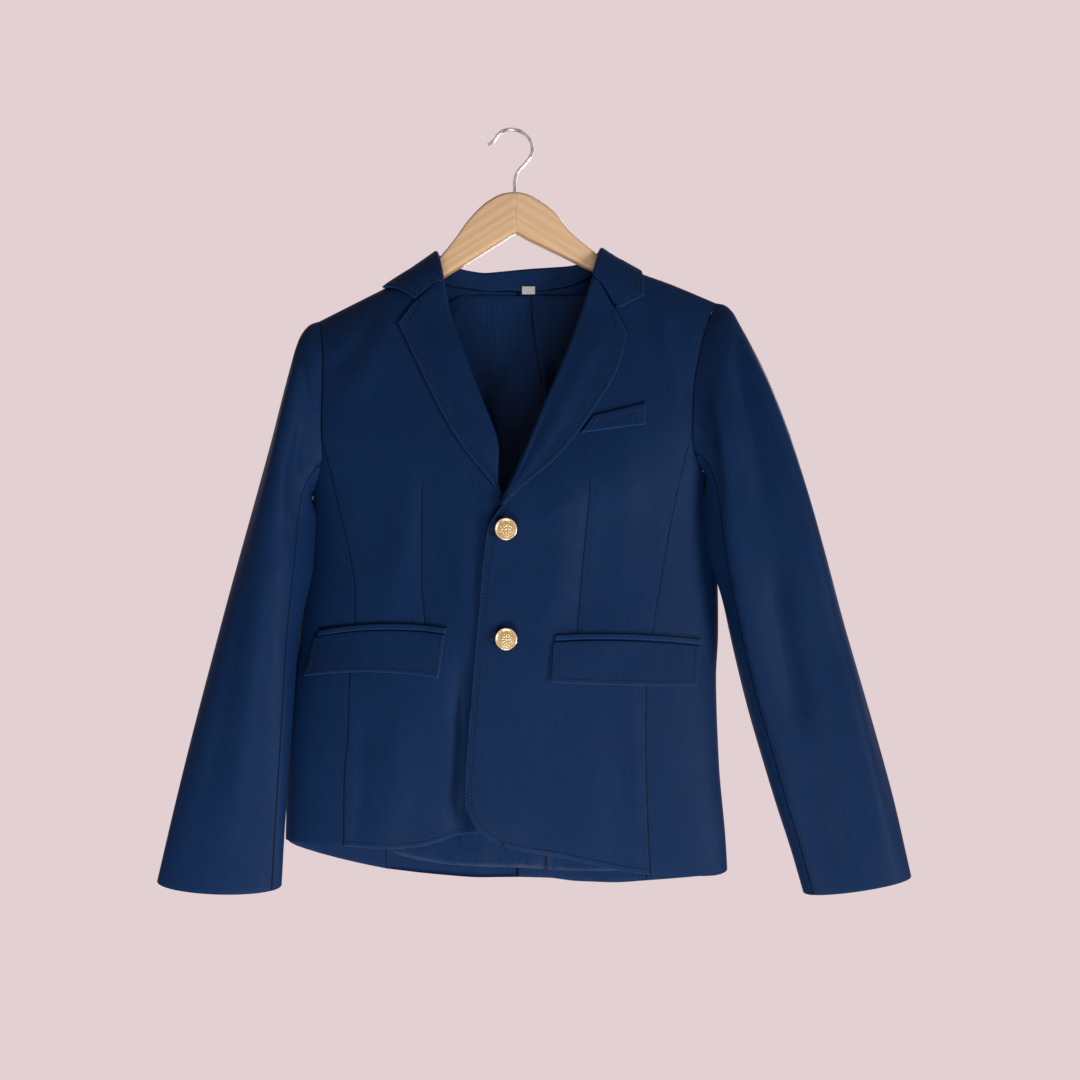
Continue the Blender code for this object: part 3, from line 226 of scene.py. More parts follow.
# Collar, station by station from one gorge round the back to the other. seam is where the
# stand meets the body, roll is the fold line, corner is the middle of the fall (None halfway
# along it), edge is the fall's outer edge; side is 1 where the edge lies on the front and -1 on
# the back; rise is how far the fall stands off near the roll.
COLLAR = (
    (-70.0, -145.4, -65.8, -19.2, -143.6, -92.2, -163.8, -122.9, -151.1, 1, 1.8),
    (-77.5, -141.2, -67.5, -16.0, -135.0, -98.5, -152.6, -123.6, -150.7, 1, 2.4),
    (-88.0, -136.6, -70.0, -10.5, -124.8, -106.0, -145.4, -123.0, -150.0, 1, 3.2),
    (-94.4, -134.8, -72.0, -3.0, -117.2, None, None, -121.5, -148.3, 1, 3.6),
    (-90.0, -136.0, -72.2, 4.0, -116.8, None, None, -115.0, -154.0, -1, 3.2),
    (-78.0, -139.8, -67.0, 9.6, -120.8, None, None, -104.0, -161.0, -1, 2.4),
    (-60.0, -144.8, -54.0, 11.8, -127.9, None, None, -84.0, -168.0, -1, 2.2),
    (-34.0, -148.6, -32.0, 12.6, -132.0, None, None, -46.0, -172.0, -1, 2.2),
    (-16.0, -149.7, -15.0, 12.8, -131.0, None, None, -22.0, -173.0, -1, 2.2),
    (3.0, -150.0, 3.0, 12.8, -129.2, None, None, 3.0, -173.2, -1, 2.2),
    (19.0, -149.3, 18.0, 12.7, -127.9, None, None, 25.0, -172.6, -1, 2.2),
    (36.0, -147.6, 34.0, 12.4, -127.0, None, None, 48.0, -171.0, -1, 2.2),
    (60.0, -142.0, 56.0, 11.4, -125.4, None, None, 82.0, -164.0, -1, 2.2),
    (77.0, -133.2, 71.0, 8.4, -120.2, None, None, 102.0, -155.0, -1, 2.0),
    (88.0, -125.0, 78.6, 3.2, -116.4, None, None, 112.0, -145.0, -1, 1.6),
    (93.0, -121.6, 80.6, -3.6, -114.4, None, None, 118.0, -134.0, 1, 1.4),
    (87.0, -128.2, 78.4, -10.6, -122.6, 105.0, -145.0, 120.6, -143.0, 1, 1.6),
    (82.0, -136.4, 75.6, -16.4, -132.2, 101.0, -157.4, 121.4, -152.0, 1, 1.8),
    (77.2, -142.2, 73.4, -19.8, -140.6, 96.2, -172.6, 121.2, -160.0, 1, 1.8),
)
FOLD_RADIUS = 1.7    # middle of the cloth, where the collar folds over
# Points of the collar's section: up the stand, round the fold (the lapels' too) and on to the fall,
# and the share of the fall where its corner lies.
STAND_STEPS = 7
BEND_STEPS = 13
GAP_STEPS = 3
FALL_CORNER = 0.56

# Flaps and welts on the front, corner by corner (x, z): top inner, top outer, bottom outer,
# bottom inner. The two sags lift the middle of the top and of the bottom edge.
FLAPS = {
    "flap_left": ("R", (36.6, -480.6), (172.6, -486.6), (168.0, -523.4), (34.2, -517.0),
                  3.2, -0.6),
    "flap_right": ("L", (-61.9, -474.4), (-186.2, -478.6), (-194.4, -515.4), (-68.1, -513.8),
                   5.4, 5.4),
    "pocket_welt_left": ("R", (38.4, -474.4), (174.0, -480.6), (173.6, -485.4), (37.6, -479.2),
                         3.2, 3.2),
    "pocket_welt_right": ("L", (-60.6, -468.4), (-181.0, -472.6), (-183.0, -477.6),
                          (-61.2, -473.4), 5.4, 5.4),
    "chest_welt": ("R", (73.4, -274.3), (121.8, -262.0), (120.6, -282.2), (61.4, -290.6),
                   0.0, 0.0),
}

BUTTONS = {"button_upper": (-6.4, -378.0), "button_lower": (-6.3, -477.5)}
# Turned profile of a button from the middle of its face to its shank: radius, height.
BUTTON_PROFILE = (
    (0.0, 3.75), (5.0, 3.55), (7.2, 3.25), (7.55, 3.1), (7.75, 3.35), (8.05, 3.35), (8.25, 3.15),
    (8.5, 3.55), (9.0, 3.9), (9.5, 3.88), (9.95, 3.4), (10.2, 2.6), (10.25, 2.0), (10.0, 1.3),
    (9.4, 0.9), (7.0, 0.6), (2.6, 0.5), (2.4, -2.2), (0.0, -2.2),
)
BUTTON_WIDTH = 20.5

# Lining of the back: how far it reaches to each side, its top, its hem (x, z), its thickness and
# its slanting folds (height, x at the neck, slant, half width).
LINING_REACH = (-148.0, 144.0)
LINING_TOP = -153.5
LINING_HEM = ((-160.0, -680.0), (-122.0, -692.0), (-69.0, -699.5), (3.0, -702.0), (93.0, -705.5),
              (126.0, -704.0), (160.0, -702.0))
SATIN = 1.2
LINING_FOLDS = ((0.8, -20.0, -0.02, 4.0), (1.1, -60.0, 0.10, 7.0), (0.9, 70.0, 0.05, 9.0))

# Bare label in the neck: its upper corner (x, z), and its width and height.
LABEL_CORNER = (6.8, -144.2)
LABEL_SIZE = (12.6, 7.6)

# Hanger: x, top, bottom. Its top keeps just under the shoulders' inner side.
HANGER = (
    (-165.0, -176.0, -187.0), (-150.0, -168.5, -184.5), (-125.0, -155.9, -174.0),
    (-95.0, -141.8, -157.5), (-86.0, -134.8, -150.0), (-71.8, -121.0, -142.0),
    (-57.5, -103.9, -133.2),
    (-42.3, -83.2, -124.0), (-25.2, -66.9, -113.4), (-10.0, -59.4, -104.0),
    (1.2, -58.2, -97.6), (12.0, -60.2, -103.0), (23.2, -65.9, -108.4),
    (39.4, -78.6, -116.2), (51.8, -94.6, -122.2), (64.8, -106.0, -128.6),
    (78.0, -116.6, -135.0), (86.0, -123.4, -139.6), (95.0, -128.8, -144.6),
    (125.0, -142.2, -158.5), (150.0, -152.3, -168.5), (165.0, -158.6, -169.9),
)
HANGER_HALF = 6.0
HANGER_END = 165.0
HANGER_JOINT = 1.2  # x of the joint between the two arms, and half the gap there
HANGER_GAP = 0.12
HANGER_Y = -1.0     # the arms sit a little forward, in the fold of the shoulders

# Hook: the middle of the wire, x and z, from its free end down to the wood.
WIRE = 3.3
HOOK = (
    (-25.2, -12.8), (-19.5, -8.6), (-14.8, -2.2), (-8.1, 1.5), (-0.4, 1.85), (7.1, -0.6),
    (14.1, -6.8), (16.9, -15.0), (15.3, -23.2), (9.5, -31.2), (3.0, -38.4), (0.5, -45.0),
    (0.3, -57.6),
)

# Creases of the fronts and the back: face, x and z of both ends, half width, height. A ridge is
# above 0 and a trough below. They die out at the ends and at the seams.
CREASES = (
    ("R", 70.0, -330.0, 56.0, -480.0, 30.0, -3.0),
    ("R", 30.0, -520.0, 26.0, -690.0, 30.0, -2.6),
    ("R", 106.0, -520.0, 108.0, -690.0, 16.0, 2.4),
    ("R", 131.0, -520.0, 132.0, -690.0, 13.0, -2.2),
    ("L", -84.0, -330.0, -82.0, -480.0, 28.0, -2.4),
    ("L", -110.0, -172.0, -163.0, -262.0, 15.0, 1.9),
    ("L", -128.0, -176.0, -172.0, -232.0, 9.0, -1.4),
    ("L", -150.0, -300.0, -120.0, -400.0, 16.0, -1.3),
    ("L", -95.0, -300.0, -118.0, -455.0, 13.0, 1.2),
    ("L", -60.0, -330.0, -52.0, -470.0, 14.0, 1.1),
    ("L", -36.0, -350.0, -40.0, -450.0, 9.0, -0.9),
    ("L", -110.0, -530.0, -118.0, -668.0, 15.0, 1.7),
    ("L", -72.0, -540.0, -70.0, -665.0, 13.0, -1.2),
    ("L", -140.0, -540.0, -146.0, -672.0, 8.0, -1.1),
    ("R", 128.0, -150.0, 158.0, -268.0, 12.0, 1.9),
    ("R", 145.0, -176.0, 166.0, -300.0, 8.0, -1.5),
    ("R", 112.0, -170.0, 136.0, -252.0, 9.0, -1.1),
    ("R", 100.0, -300.0, 92.0, -440.0, 14.0, 1.3),
    ("R", 42.0, -330.0, 34.0, -470.0, 13.0, 1.2),
    ("R", 22.0, -372.0, 60.0, -352.0, 7.0, 0.9),
    ("R", 20.0, -388.0, 62.0, -402.0, 8.0, -0.8),
    ("R", 18.0, -470.0, 44.0, -446.0, 6.0, 0.7),
    ("R", 60.0, -535.0, 72.0, -680.0, 15.0, 1.8),
    ("R", 20.0, -540.0, 26.0, -668.0, 13.0, -1.1),
    ("R", 98.0, -540.0, 104.0, -690.0, 11.0, -1.4),
    ("B", -92.0, -185.0, -150.0, -300.0, 16.0, 2.0),
    ("B", -60.0, -205.0, -112.0, -330.0, 13.0, -1.6),
    ("B", 84.0, -178.0, 140.0, -288.0, 17.0, 2.1),
    ("B", 58.0, -210.0, 96.0, -322.0, 12.0, -1.5),
    ("B", -40.0, -330.0, -88.0, -398.0, 13.0, -1.7),
    ("B", 36.0, -340.0, 92.0, -404.0, 14.0, -1.8),
    ("B", -34.0, -372.0, -82.0, -430.0, 11.0, 1.3),
    ("B", 30.0, -384.0, 84.0, -438.0, 11.0, 1.4),
    ("B", -60.0, -470.0, -72.0, -700.0, 16.0, 2.0),
    ("B", -28.0, -500.0, -30.0, -708.0, 13.0, -1.6),
    ("B", 58.0, -480.0, 74.0, -708.0, 17.0, 2.1),
    ("B", 98.0, -500.0, 104.0, -708.0, 10.0, -1.3),
    ("B", 26.0, -520.0, 28.0, -706.0, 12.0, -1.5),
    ("R", -38.0, -520.0, -42.0, -690.0, 14.0, 6.0),
    ("L", -48.0, -500.0, -54.0, -690.0, 11.0, -8.0),
)

# Small creases of the sleeves, added to the large folds: side, angle and share of the length
# at both ends, half width in degrees, height.
SLEEVE_CREASES = (
    ("R", 88.0, 0.12, 128.0, 0.46, 11.0, 2.2),
    ("R", 130.0, 0.44, 146.0, 0.74, 11.0, 1.6),
    ("R", 62.0, 0.22, 84.0, 0.54, 13.0, -5.4),
    ("R", 84.0, 0.52, 106.0, 0.80, 15.0, -5.4),
    ("R", 106.0, 0.78, 112.0, 0.99, 16.0, -3.6),
    ("R", 38.0, 0.26, 42.0, 0.70, 15.0, 6.0),
    ("R", 42.0, 0.68, 50.0, 0.99, 16.0, 4.8),
    ("R", 110.0, 0.02, 114.0, 0.26, 9.0, -2.6),
    ("R", 180.0, 0.11, 180.0, 0.52, 32.0, 8.5),
    ("L", 180.0, 0.12, 180.0, 0.60, 32.0, 8.0),
    ("R", 318.0, 0.10, 300.0, 0.42, 13.0, -1.6),
    ("R", 270.0, 0.30, 262.0, 0.66, 12.0, 1.7),
    ("R", 236.0, 0.24, 226.0, 0.46, 12.0, -1.8),
    ("R", 286.0, 0.62, 292.0, 0.97, 13.0, -1.4),
    ("L", 88.0, 0.02, 56.0, 0.14, 11.0, 1.7),
    ("L", 52.0, 0.03, 30.0, 0.24, 10.0, -1.3),
    ("L", 134.0, 0.05, 118.0, 0.30, 9.0, 1.4),
    ("L", 98.0, 0.16, 92.0, 0.46, 10.0, -1.4),
    ("L", 44.0, 0.20, 52.0, 0.66, 13.0, 1.5),
    ("L", 122.0, 0.42, 84.0, 0.52, 9.0, -1.3),
    ("L", 132.0, 0.47, 92.0, 0.60, 9.0, 1.2),
    ("L", 88.0, 0.58, 96.0, 0.97, 12.0, 1.4),
    ("L", 60.0, 0.62, 64.0, 0.98, 11.0, -1.2),
    ("L", 322.0, 0.10, 306.0, 0.44, 13.0, -1.5),
    ("L", 276.0, 0.26, 268.0, 0.60, 12.0, 1.6),
    ("L", 238.0, 0.22, 230.0, 0.44, 12.0, -1.6),
    ("L", 290.0, 0.60, 294.0, 0.96, 12.0, -1.3),
)

# Darts of the fronts, from the point at the chest down to the pocket: x, z.
DARTS = {
    "L": ((-334.0, -83.5), (-380.0, -84.4), (-419.0, -84.7), (-464.0, -81.2)),
    "R": ((-343.0, 69.5), (-375.0, 66.6), (-408.0, 63.4), (-472.0, 57.9)),
}

WORN = {"R": "left", "L": "right"}


def linear(hex_colour):
    """Linear values of an sRGB hex colour."""
    values = [int(hex_colour[i:i + 2], 16) / 255 for i in (1, 3, 5)]
    return tuple(v / 12.92 if v <= 0.04045 else ((v + 0.055) / 1.055) ** 2.4 for v in values)


def curve(rows, key, column=1):
    """A smooth value from a table, without overshoot; the first column is the key."""
    keys = [row[0] for row in rows]
    down = keys[0] > keys[-1]
    sign = -1.0 if down else 1.0
    key = key * sign
    keys = [value * sign for value in keys]
    values = [row[column] for row in rows]
    if key <= keys[0]:
        return values[0]
    if key >= keys[-1]:
        return values[-1]
    index = 0
    while key > keys[index + 1]:
        index += 1
    steps = [b - a for a, b in zip(keys, keys[1:])]
    slopes = [(b - a) / step for a, b, step in zip(values, values[1:], steps)]

    def tangent(i):
        if i == 0:
            return slopes[0]
        if i == len(slopes):
            return slopes[-1]
        before, after = slopes[i - 1], slopes[i]
        if before * after <= 0.0:
            return 0.0
        w1 = 2.0 * steps[i] + steps[i - 1]
        w2 = steps[i] + 2.0 * steps[i - 1]
        return (w1 + w2) / (w1 / before + w2 / after)

    step = steps[index]
    t = (key - keys[index]) / step
    start, end = values[index], values[index + 1]
    rise0, rise1 = tangent(index) * step, tangent(index + 1) * step
    return (start * (1 + 2 * t) * (1 - t) ** 2 + rise0 * t * (1 - t) ** 2
            + end * t * t * (3 - 2 * t) + rise1 * t * t * (t - 1))


def smooth(low, high, value):
    """0 at low and 1 at high, easing in and out; high may be the smaller one."""
    t = min(1.0, max(0.0, (value - low) / (high - low)))
    return t * t * (3 - 2 * t)


def sampled(rows, column=1):
    """The same curve read from values kept for every millimetre, which is quicker."""
    low = min(rows[0][0], rows[-1][0])
    high = max(rows[0][0], rows[-1][0])
    count = int(math.ceil(high - low))
    step = (high - low) / count
    kept = [curve(rows, low + step * i, column) for i in range(count + 1)]

    def read(key):
        place_in = min(count - 1e-6, max(0.0, (key - low) / step))
        i = int(place_in)
        return kept[i] + (kept[i + 1] - kept[i]) * (place_in - i)

    return read


BODY_AT = {name: sampled(BODY, i) for i, name in enumerate(BODY_COLUMNS) if i}
SHOULDER_AT = sampled(SHOULDER)
OVERLAP_AT = sampled(OVERLAP)
EDGE_AT = {side: sampled(EDGE[side]) for side in "RL"}
SEAM_AT = {side: sampled(FRONT_SEAM[side]) for side in "RL"}
BACK_SEAM_AT = {side: sampled(BACK_SEAM[side]) for side in "RL"}
DART_AT = {side: sampled(DARTS[side]) for side in "RL"}


def body(z, column):
    """A measure of the body's section at a height."""
    return BODY_AT[column](z)


def shoulder(x):
    """Height of the shoulder line over x, as if both lines met over the neck."""
    return SHOULDER_AT(x)


def overlap(x, z):
    """How far the right-hand front stands off, so that it laps over the other."""
    across = x - EDGE_AT["R"](z)
    return OVERLAP_AT(z) * (1.0 - smooth(62.0, 145.0, across))


def crease(x, z, face):
    """Height of the creases over a point of the cloth."""
    total = 0.0
    for where, x0, z0, x1, z1, width, height in CREASES:
        if where != face:
            continue
        dx, dz = x1 - x0, z1 - z0
        length = math.hypot(dx, dz)
        along = ((x - x0) * dx + (z - z0) * dz) / length ** 2
        if not -0.15 < along < 1.15:
            continue
        off = ((x - x0) * dz - (z - z0) * dx) / length
        # each one bows a little to one side
        off += width * 0.5 * math.sin(math.pi * along)
        if abs(off) < 3 * width:
            fade = smooth(-0.15, 0.3, along) * (1.0 - smooth(0.7, 1.15, along))
            total += height * fade * math.exp(-(off / width) ** 2)
    if total:
        if face == "B":
            side = "R" if x > 0 else "L"
            total *= smooth(1.0, 16.0, abs(x - BACK_SEAM_AT[side](z)))
            total *= smooth(0.0, 14.0, abs(x - 3.5))
        else:
            total *= smooth(1.0, 14.0, abs(x - SEAM_AT[face](z)))
            total *= 0.25 + 0.75 * smooth(10.0, 60.0, abs(x - EDGE_AT[face](z)))
        total *= smooth(4.0, 40.0, shoulder(x) - z)
    return total


def dart(x, z, side):
    """The dip along a dart."""
    if side == "B" or not -480.0 < z < -330.0:
        return 0.0
    off = (x - DART_AT[side](z)) / 5.0
    fade = smooth(-330.0, -352.0, z) * smooth(-480.0, -466.0, z)
    return -0.9 * fade * math.exp(-off * off)


def depth(x, z, face):
    """y of the cloth's outer side. face is R or L for a front, B for the back."""
    left, right = body(z, "left"), body(z, "right")
    half = (right - left) / 2
    share = min(0.995, abs(x - (left + right) / 2) / half)
    fold = body(z, "fold")
    if face == "B":
        most, power = body(z, "back"), body(z, "back_power")
        out = 1.0
    else:
        most, power = body(z, "front"), body(z, "front_power")
        out = -1.0
    y = fold + (most - fold) * (1.0 - share ** power) ** (1.0 / power)
    if face == "R":
        y -= overlap(x, z)
    down = min(1.0, max(0.0, (shoulder(x) - z) / HEAD))
    y *= math.sqrt(max(0.0, 1.0 - (1.0 - down) ** 2))
    return y + out * (crease(x, z, face) + dart(x, z, face))


def skin(x, z, face):
    """A point on the cloth's outer side."""
    return Vector((x, depth(x, z, face), z))


def skin_normal(x, z, face):
    """Outward normal of the cloth at x, z on a front or on the back."""
    if shoulder(x) - z < 0.05:
        slope = (shoulder(x + 1.0) - shoulder(x - 1.0)) / 2
        return Vector((-slope, 0.0, 1.0)).normalized()
    e = 0.05
    top = min(z + e, shoulder(x) - 0.0005)
    low = min(z, shoulder(x) - 0.0005) - e
    along = (depth(x, top, face) - depth(x, low, face)) / (top - low)
    level = min(z, min(shoulder(x - e), shoulder(x + e)) - 0.02)
    across = (depth(x + e, level, face) - depth(x - e, level, face)) / (2 * e)
    sign = -1.0 if face == "B" else 1.0
    if shoulder(x) - z < 0.6:
        across = 0.0
    return (Vector((across, -1.0, along)) * sign).normalized()


def place(x, z, face, height=0.0):
    """A point height above the cloth's outer side."""
    return skin(x, z, face) + skin_normal(x, z, face) * height


def turn(x, z, face):
    """Direction round the body's middle of a point on the cloth, 0 at the side fold."""
    left, right = body(z, "left"), body(z, "right")
    across = (x - (left + right) / 2) / ((right - left) / 2)
    power = body(z, "back_power" if face == "B" else "front_power")
    across = max(-0.9999, min(0.9999, across))
    out = (1.0 - abs(across) ** power) ** (1.0 / power)
    return math.atan2(out, abs(across))


def side_skin(angle, z, side):
    """Outer side near the side fold: angle > 0 in front, < 0 behind."""
    left, right = body(z, "left"), body(z, "right")
    half = (right - left) / 2
    fold = body(z, "fold")
    if angle >= 0:
        most, power = body(z, "front"), body(z, "front_power")
    else:
        most, power = body(z, "back"), body(z, "back_power")
    c, s = math.cos(angle), math.sin(abs(angle))
    reach = (c ** power + s ** power) ** (-1.0 / power)
    sign = 1.0 if side == "R" else -1.0
    return Vector(((left + right) / 2 + sign * half * reach * c,
                   fold + (most - fold) * reach * s, z))


def spread(values, times):
    """A finer list between given values, through a smooth curve."""
    rows = list(enumerate(values))
    return [curve(rows, i / times) for i in range((len(values) - 1) * times + 1)]


def rows_of(top_share):
    """Shares down a front or a back: fine over the shoulder, then even."""
    fine = spread((0.0, 0.017, 0.066, 0.142, 0.238, 0.355, 0.49, 0.65, 0.82, 1.0), FINE)
    rows = [value * top_share for value in fine]
    rows += [top_share + (1.0 - top_share) * (i + 1) / LOW_ROWS for i in range(LOW_ROWS)]
    return rows


def patch(inner, outer, top, bottom, u, v):
    """x, z inside four edges: inner and outer run down, top and bottom run outwards."""
    def run(rows, share):
        z = rows[0][0] + (rows[-1][0] - rows[0][0]) * share
        return curve(rows, z), z

    def across(rows, share):
        return curve(rows, share, 1), curve(rows, share, 2)

    a, b = run(inner, v), run(outer, v)
    c, d = across(top, u), across(bottom, u)
    out = []
    for i in range(2):
        corner = ((1 - u) * ((1 - v) * across(top, 0.0)[i] + v * across(bottom, 0.0)[i])
                  + u * ((1 - v) * across(top, 1.0)[i] + v * across(bottom, 1.0)[i]))
        out.append((1 - u) * a[i] + u * b[i] + (1 - v) * c[i] + v * d[i] - corner)
    return out


def front_grid(side, columns=58):
    """Outer points and normals of a front, row by row."""
    edge, seam, hem = EDGE[side], FRONT_SEAM[side], FRONT_HEM[side]
    top = ((0.0, edge[0][1], shoulder(edge[0][1])), (1.0, seam[0][1], shoulder(seam[0][1])))
    share = (PANEL_TOP[side][0] - seam[0][0]) / (seam[-1][0] - seam[0][0])
    grid = []
    for v in rows_of(share):
        line = []
        for i in range(columns + 1):
            x, z = patch(edge, seam, top, hem, i / columns, v)
            z = min(z, shoulder(x))
            line.append((skin(x, z, side), skin_normal(x, z, side)))
        grid.append(line)
    return grid


def back_grid(side):
    """Outer points and normals of half the back, row by row."""
    seam, hem, top = BACK_SEAM[side], BACK_HEM[side], list(BACK_TOP[side])
    near, far = BACK_SHOULDER[side]
    for u in (0.46, 0.6, 0.73, 0.87, 1.0):
        x = near + (far - near) * (u - 0.46) / 0.54
        top.append((u, x, shoulder(x)))
    middle = ((-150.0, 4.0), (-711.0, 3.0))
    share = (PANEL_TOP[side][0] - seam[0][0]) / (seam[-1][0] - seam[0][0])
    grid = []
    for v in rows_of(share):
        line = []
        for u in spread(BACK_ACROSS, 5):
            x, z = patch(middle, seam, top, hem, u, v)
            z = min(z, shoulder(x))
            line.append((skin(x, z, "B"), skin_normal(x, z, "B")))
        grid.append(line)
    return grid


def side_grid(side):
    """Side panel from the princess seam round the fold to the back's seam."""
    across = 6 * FINE
    at_seams, lowest = PANEL_TOP[side]
    sign = 1.0 if side == "R" else -1.0

    def point(u, v):
        swing = 1.0 - 2.0 * u
        top = at_seams + (lowest - at_seams) * math.sqrt(max(0.0, 1.0 - swing ** 2))
        z = top + v * (curve(SIDE_HEM[side], u) - top)
        if swing >= 0:
            angle = turn(SEAM_AT[side](z), z, side) * swing
        else:
            angle = turn(BACK_SEAM_AT[side](z), z, "B") * swing
        wave = 1.3 * math.sin(math.pi * u) * math.sin(v * 7.0 + (1.0 if side == "R" else 3.4))
        wave *= smooth(0.0, 0.12, v)
        return side_skin(angle, z, side) + Vector((sign * wave, 0.0, 0.0))

    grid = []
    for j in range(LOW_ROWS + 1):
        v = j / LOW_ROWS
        line = []
        for i in range(across + 1):
            u = (1.0 - math.cos(math.pi * i / across)) / 2
            here = point(u, v)
            if i == 0:
                normal = skin_normal(here.x, here.z, side)
            elif i == across:
                normal = skin_normal(here.x, here.z, "B")
            else:
                e = 0.01
                du = point(u + e, v) - point(u - e, v)
                dv = point(u, min(1.0, v + e)) - point(u, max(0.0, v - e))
                normal = du.cross(dv).normalized()
                if normal.x * sign < 0:
                    normal = -normal
            line.append((here, normal))
        grid.append(line)
    return grid


def armhole(front, back, panel):
    """The ring of points shared by the body's edge and the sleeve: front, below, behind."""
    ring = [front[j][-1][0] for j in range(ARM_ROWS + 1)]
    ring += [panel[0][i][0] for i in range(1, 6 * FINE)]
    ring += [back[j][-1][0] for j in range(ARM_ROWS, 0, -1)]
    return ring


def fold_height(side, angle, share):
    """Height of a sleeve's large folds and of its small creases."""
    total = 0.0
    for centre, width, height, middle, run in FOLDS[side]:
        turn_by = (angle - centre + 180.0) % 360.0 - 180.0
        along = (share - middle) / run
        if abs(along) < 1.0:
            total += (height * math.exp(-(turn_by / width) ** 2)
                      * math.cos(along * math.pi / 2) ** 2)
    for where, a0, s0, a1, s1, width, height in SLEEVE_CREASES:
        along = (share - s0) / (s1 - s0)
        if where != side or not -0.1 < along < 1.1:
            continue
        centre = a0 + (a1 - a0) * along + 4.0 * math.sin(math.pi * along)
        turn_by = (angle - centre + 180.0) % 360.0 - 180.0
        fade = smooth(-0.1, 0.35, along) * (1.0 - smooth(0.65, 1.1, along))
        total += height * fade * math.exp(-(turn_by / width) ** 2)
    return total * smooth(0.0, 0.05, share)


def sleeve_grid(side, ring):
    """Rings of points from the armhole to the cuff, with their outward normals."""
    plain = SLEEVE[side]
    rings = []
    for r in range((len(plain) - 1) * 10 + 1):
        rings.append([curve([(i, row[c]) for i, row in enumerate(plain)], r / 10)
                      for c in range(7)])
    first = rings[0]
    reach = first[1] - first[3]
    angles = []
    for k, point in enumerate(ring):
        share = min(1.0, max(0.0, (first[1] - point.z) / reach))
        angle = math.degrees(math.acos(1.0 - 2.0 * share))
        angles.append(angle if k <= ROUND // 2 else 360.0 - angle)

    def oval(row, angle):
        ox, oz, ix, iz, middle, half, _ = row
        c, s = math.cos(math.radians(angle)), math.sin(math.radians(angle))
        bulge = math.copysign(abs(s) ** 0.9, s)
        return Vector(((ox + ix) / 2 + (ox - ix) / 2 * c, middle - half * bulge,
                       (oz + iz) / 2 + (oz - iz) / 2 * c))

    points, turned = [], []
    last = len(rings) - 1
    for r, row in enumerate(rings):
        line, at = [], []
        even = smooth(0.1, 1.0, r / last)
        for k in range(ROUND):
            angle = angles[k] * (1 - even) + 360.0 * k / ROUND * even
            here = oval(row, angle)
            here += (ring[k] - oval(first, angles[k])) * row[6]
            near_end = smooth(0.93, 1.0, r / last)
            s = math.sin(math.radians(angle))
            here.z += CUFF_DIP[side][0 if s > 0 else 1] * abs(s) * near_end
            line.append(here)
            at.append(angle)
        points.append(line)
        turned.append(at)
    grid = []
    for r, line in enumerate(points):
        out = []
        for k, here in enumerate(line):
            du = line[(k + 1) % ROUND] - line[k - 1]
            dv = points[min(last, r + 1)][k] - points[max(0, r - 1)][k]
            normal = du.cross(dv).normalized()
            middle = (line[0] + line[ROUND // 2]) / 2
            if normal.dot(here - middle) < 0:
                normal = -normal
            out.append((here + normal * fold_height(side, turned[r][k], r / last), normal))
        grid.append(out)
    return grid


# Settings of a Map Range that eases in and out, given (value, from, to, new from, new to), and of a
# Mix of two colours, given {0: share, 6: first colour, 7: second colour}.
EASED = {"interpolation_type": "SMOOTHSTEP"}
COLOURS = {"out": 2, "data_type": "RGBA"}


def add(tree, kind, inputs=(), out=0, **settings):
    """A node with its settings and links. Its inputs are given in order or by name, each a value or
    another node's output, and what comes back is the output asked for."""
    made = tree.nodes.new(kind)
    for key, value in settings.items():
        setattr(made, key, value)
    for key, value in inputs.items() if isinstance(inputs, dict) else enumerate(inputs):
        if isinstance(value, bpy.types.NodeSocket):
            tree.links.new(value, made.inputs[key])
        else:
            made.inputs[key].default_value = value
    return made.outputs[out] if made.outputs else None


def rgba(colour):
    """The same colour with full opacity."""
    return (colour[0], colour[1], colour[2], 1.0)


def pleat_at(z):
    """Where the loose edge of the lining's pleat lies: it slants to the wearer's left."""
    return 16.0 + 11.0 * smooth(-160.0, -260.0, z) + 3.0 * smooth(-260.0, -700.0, z)


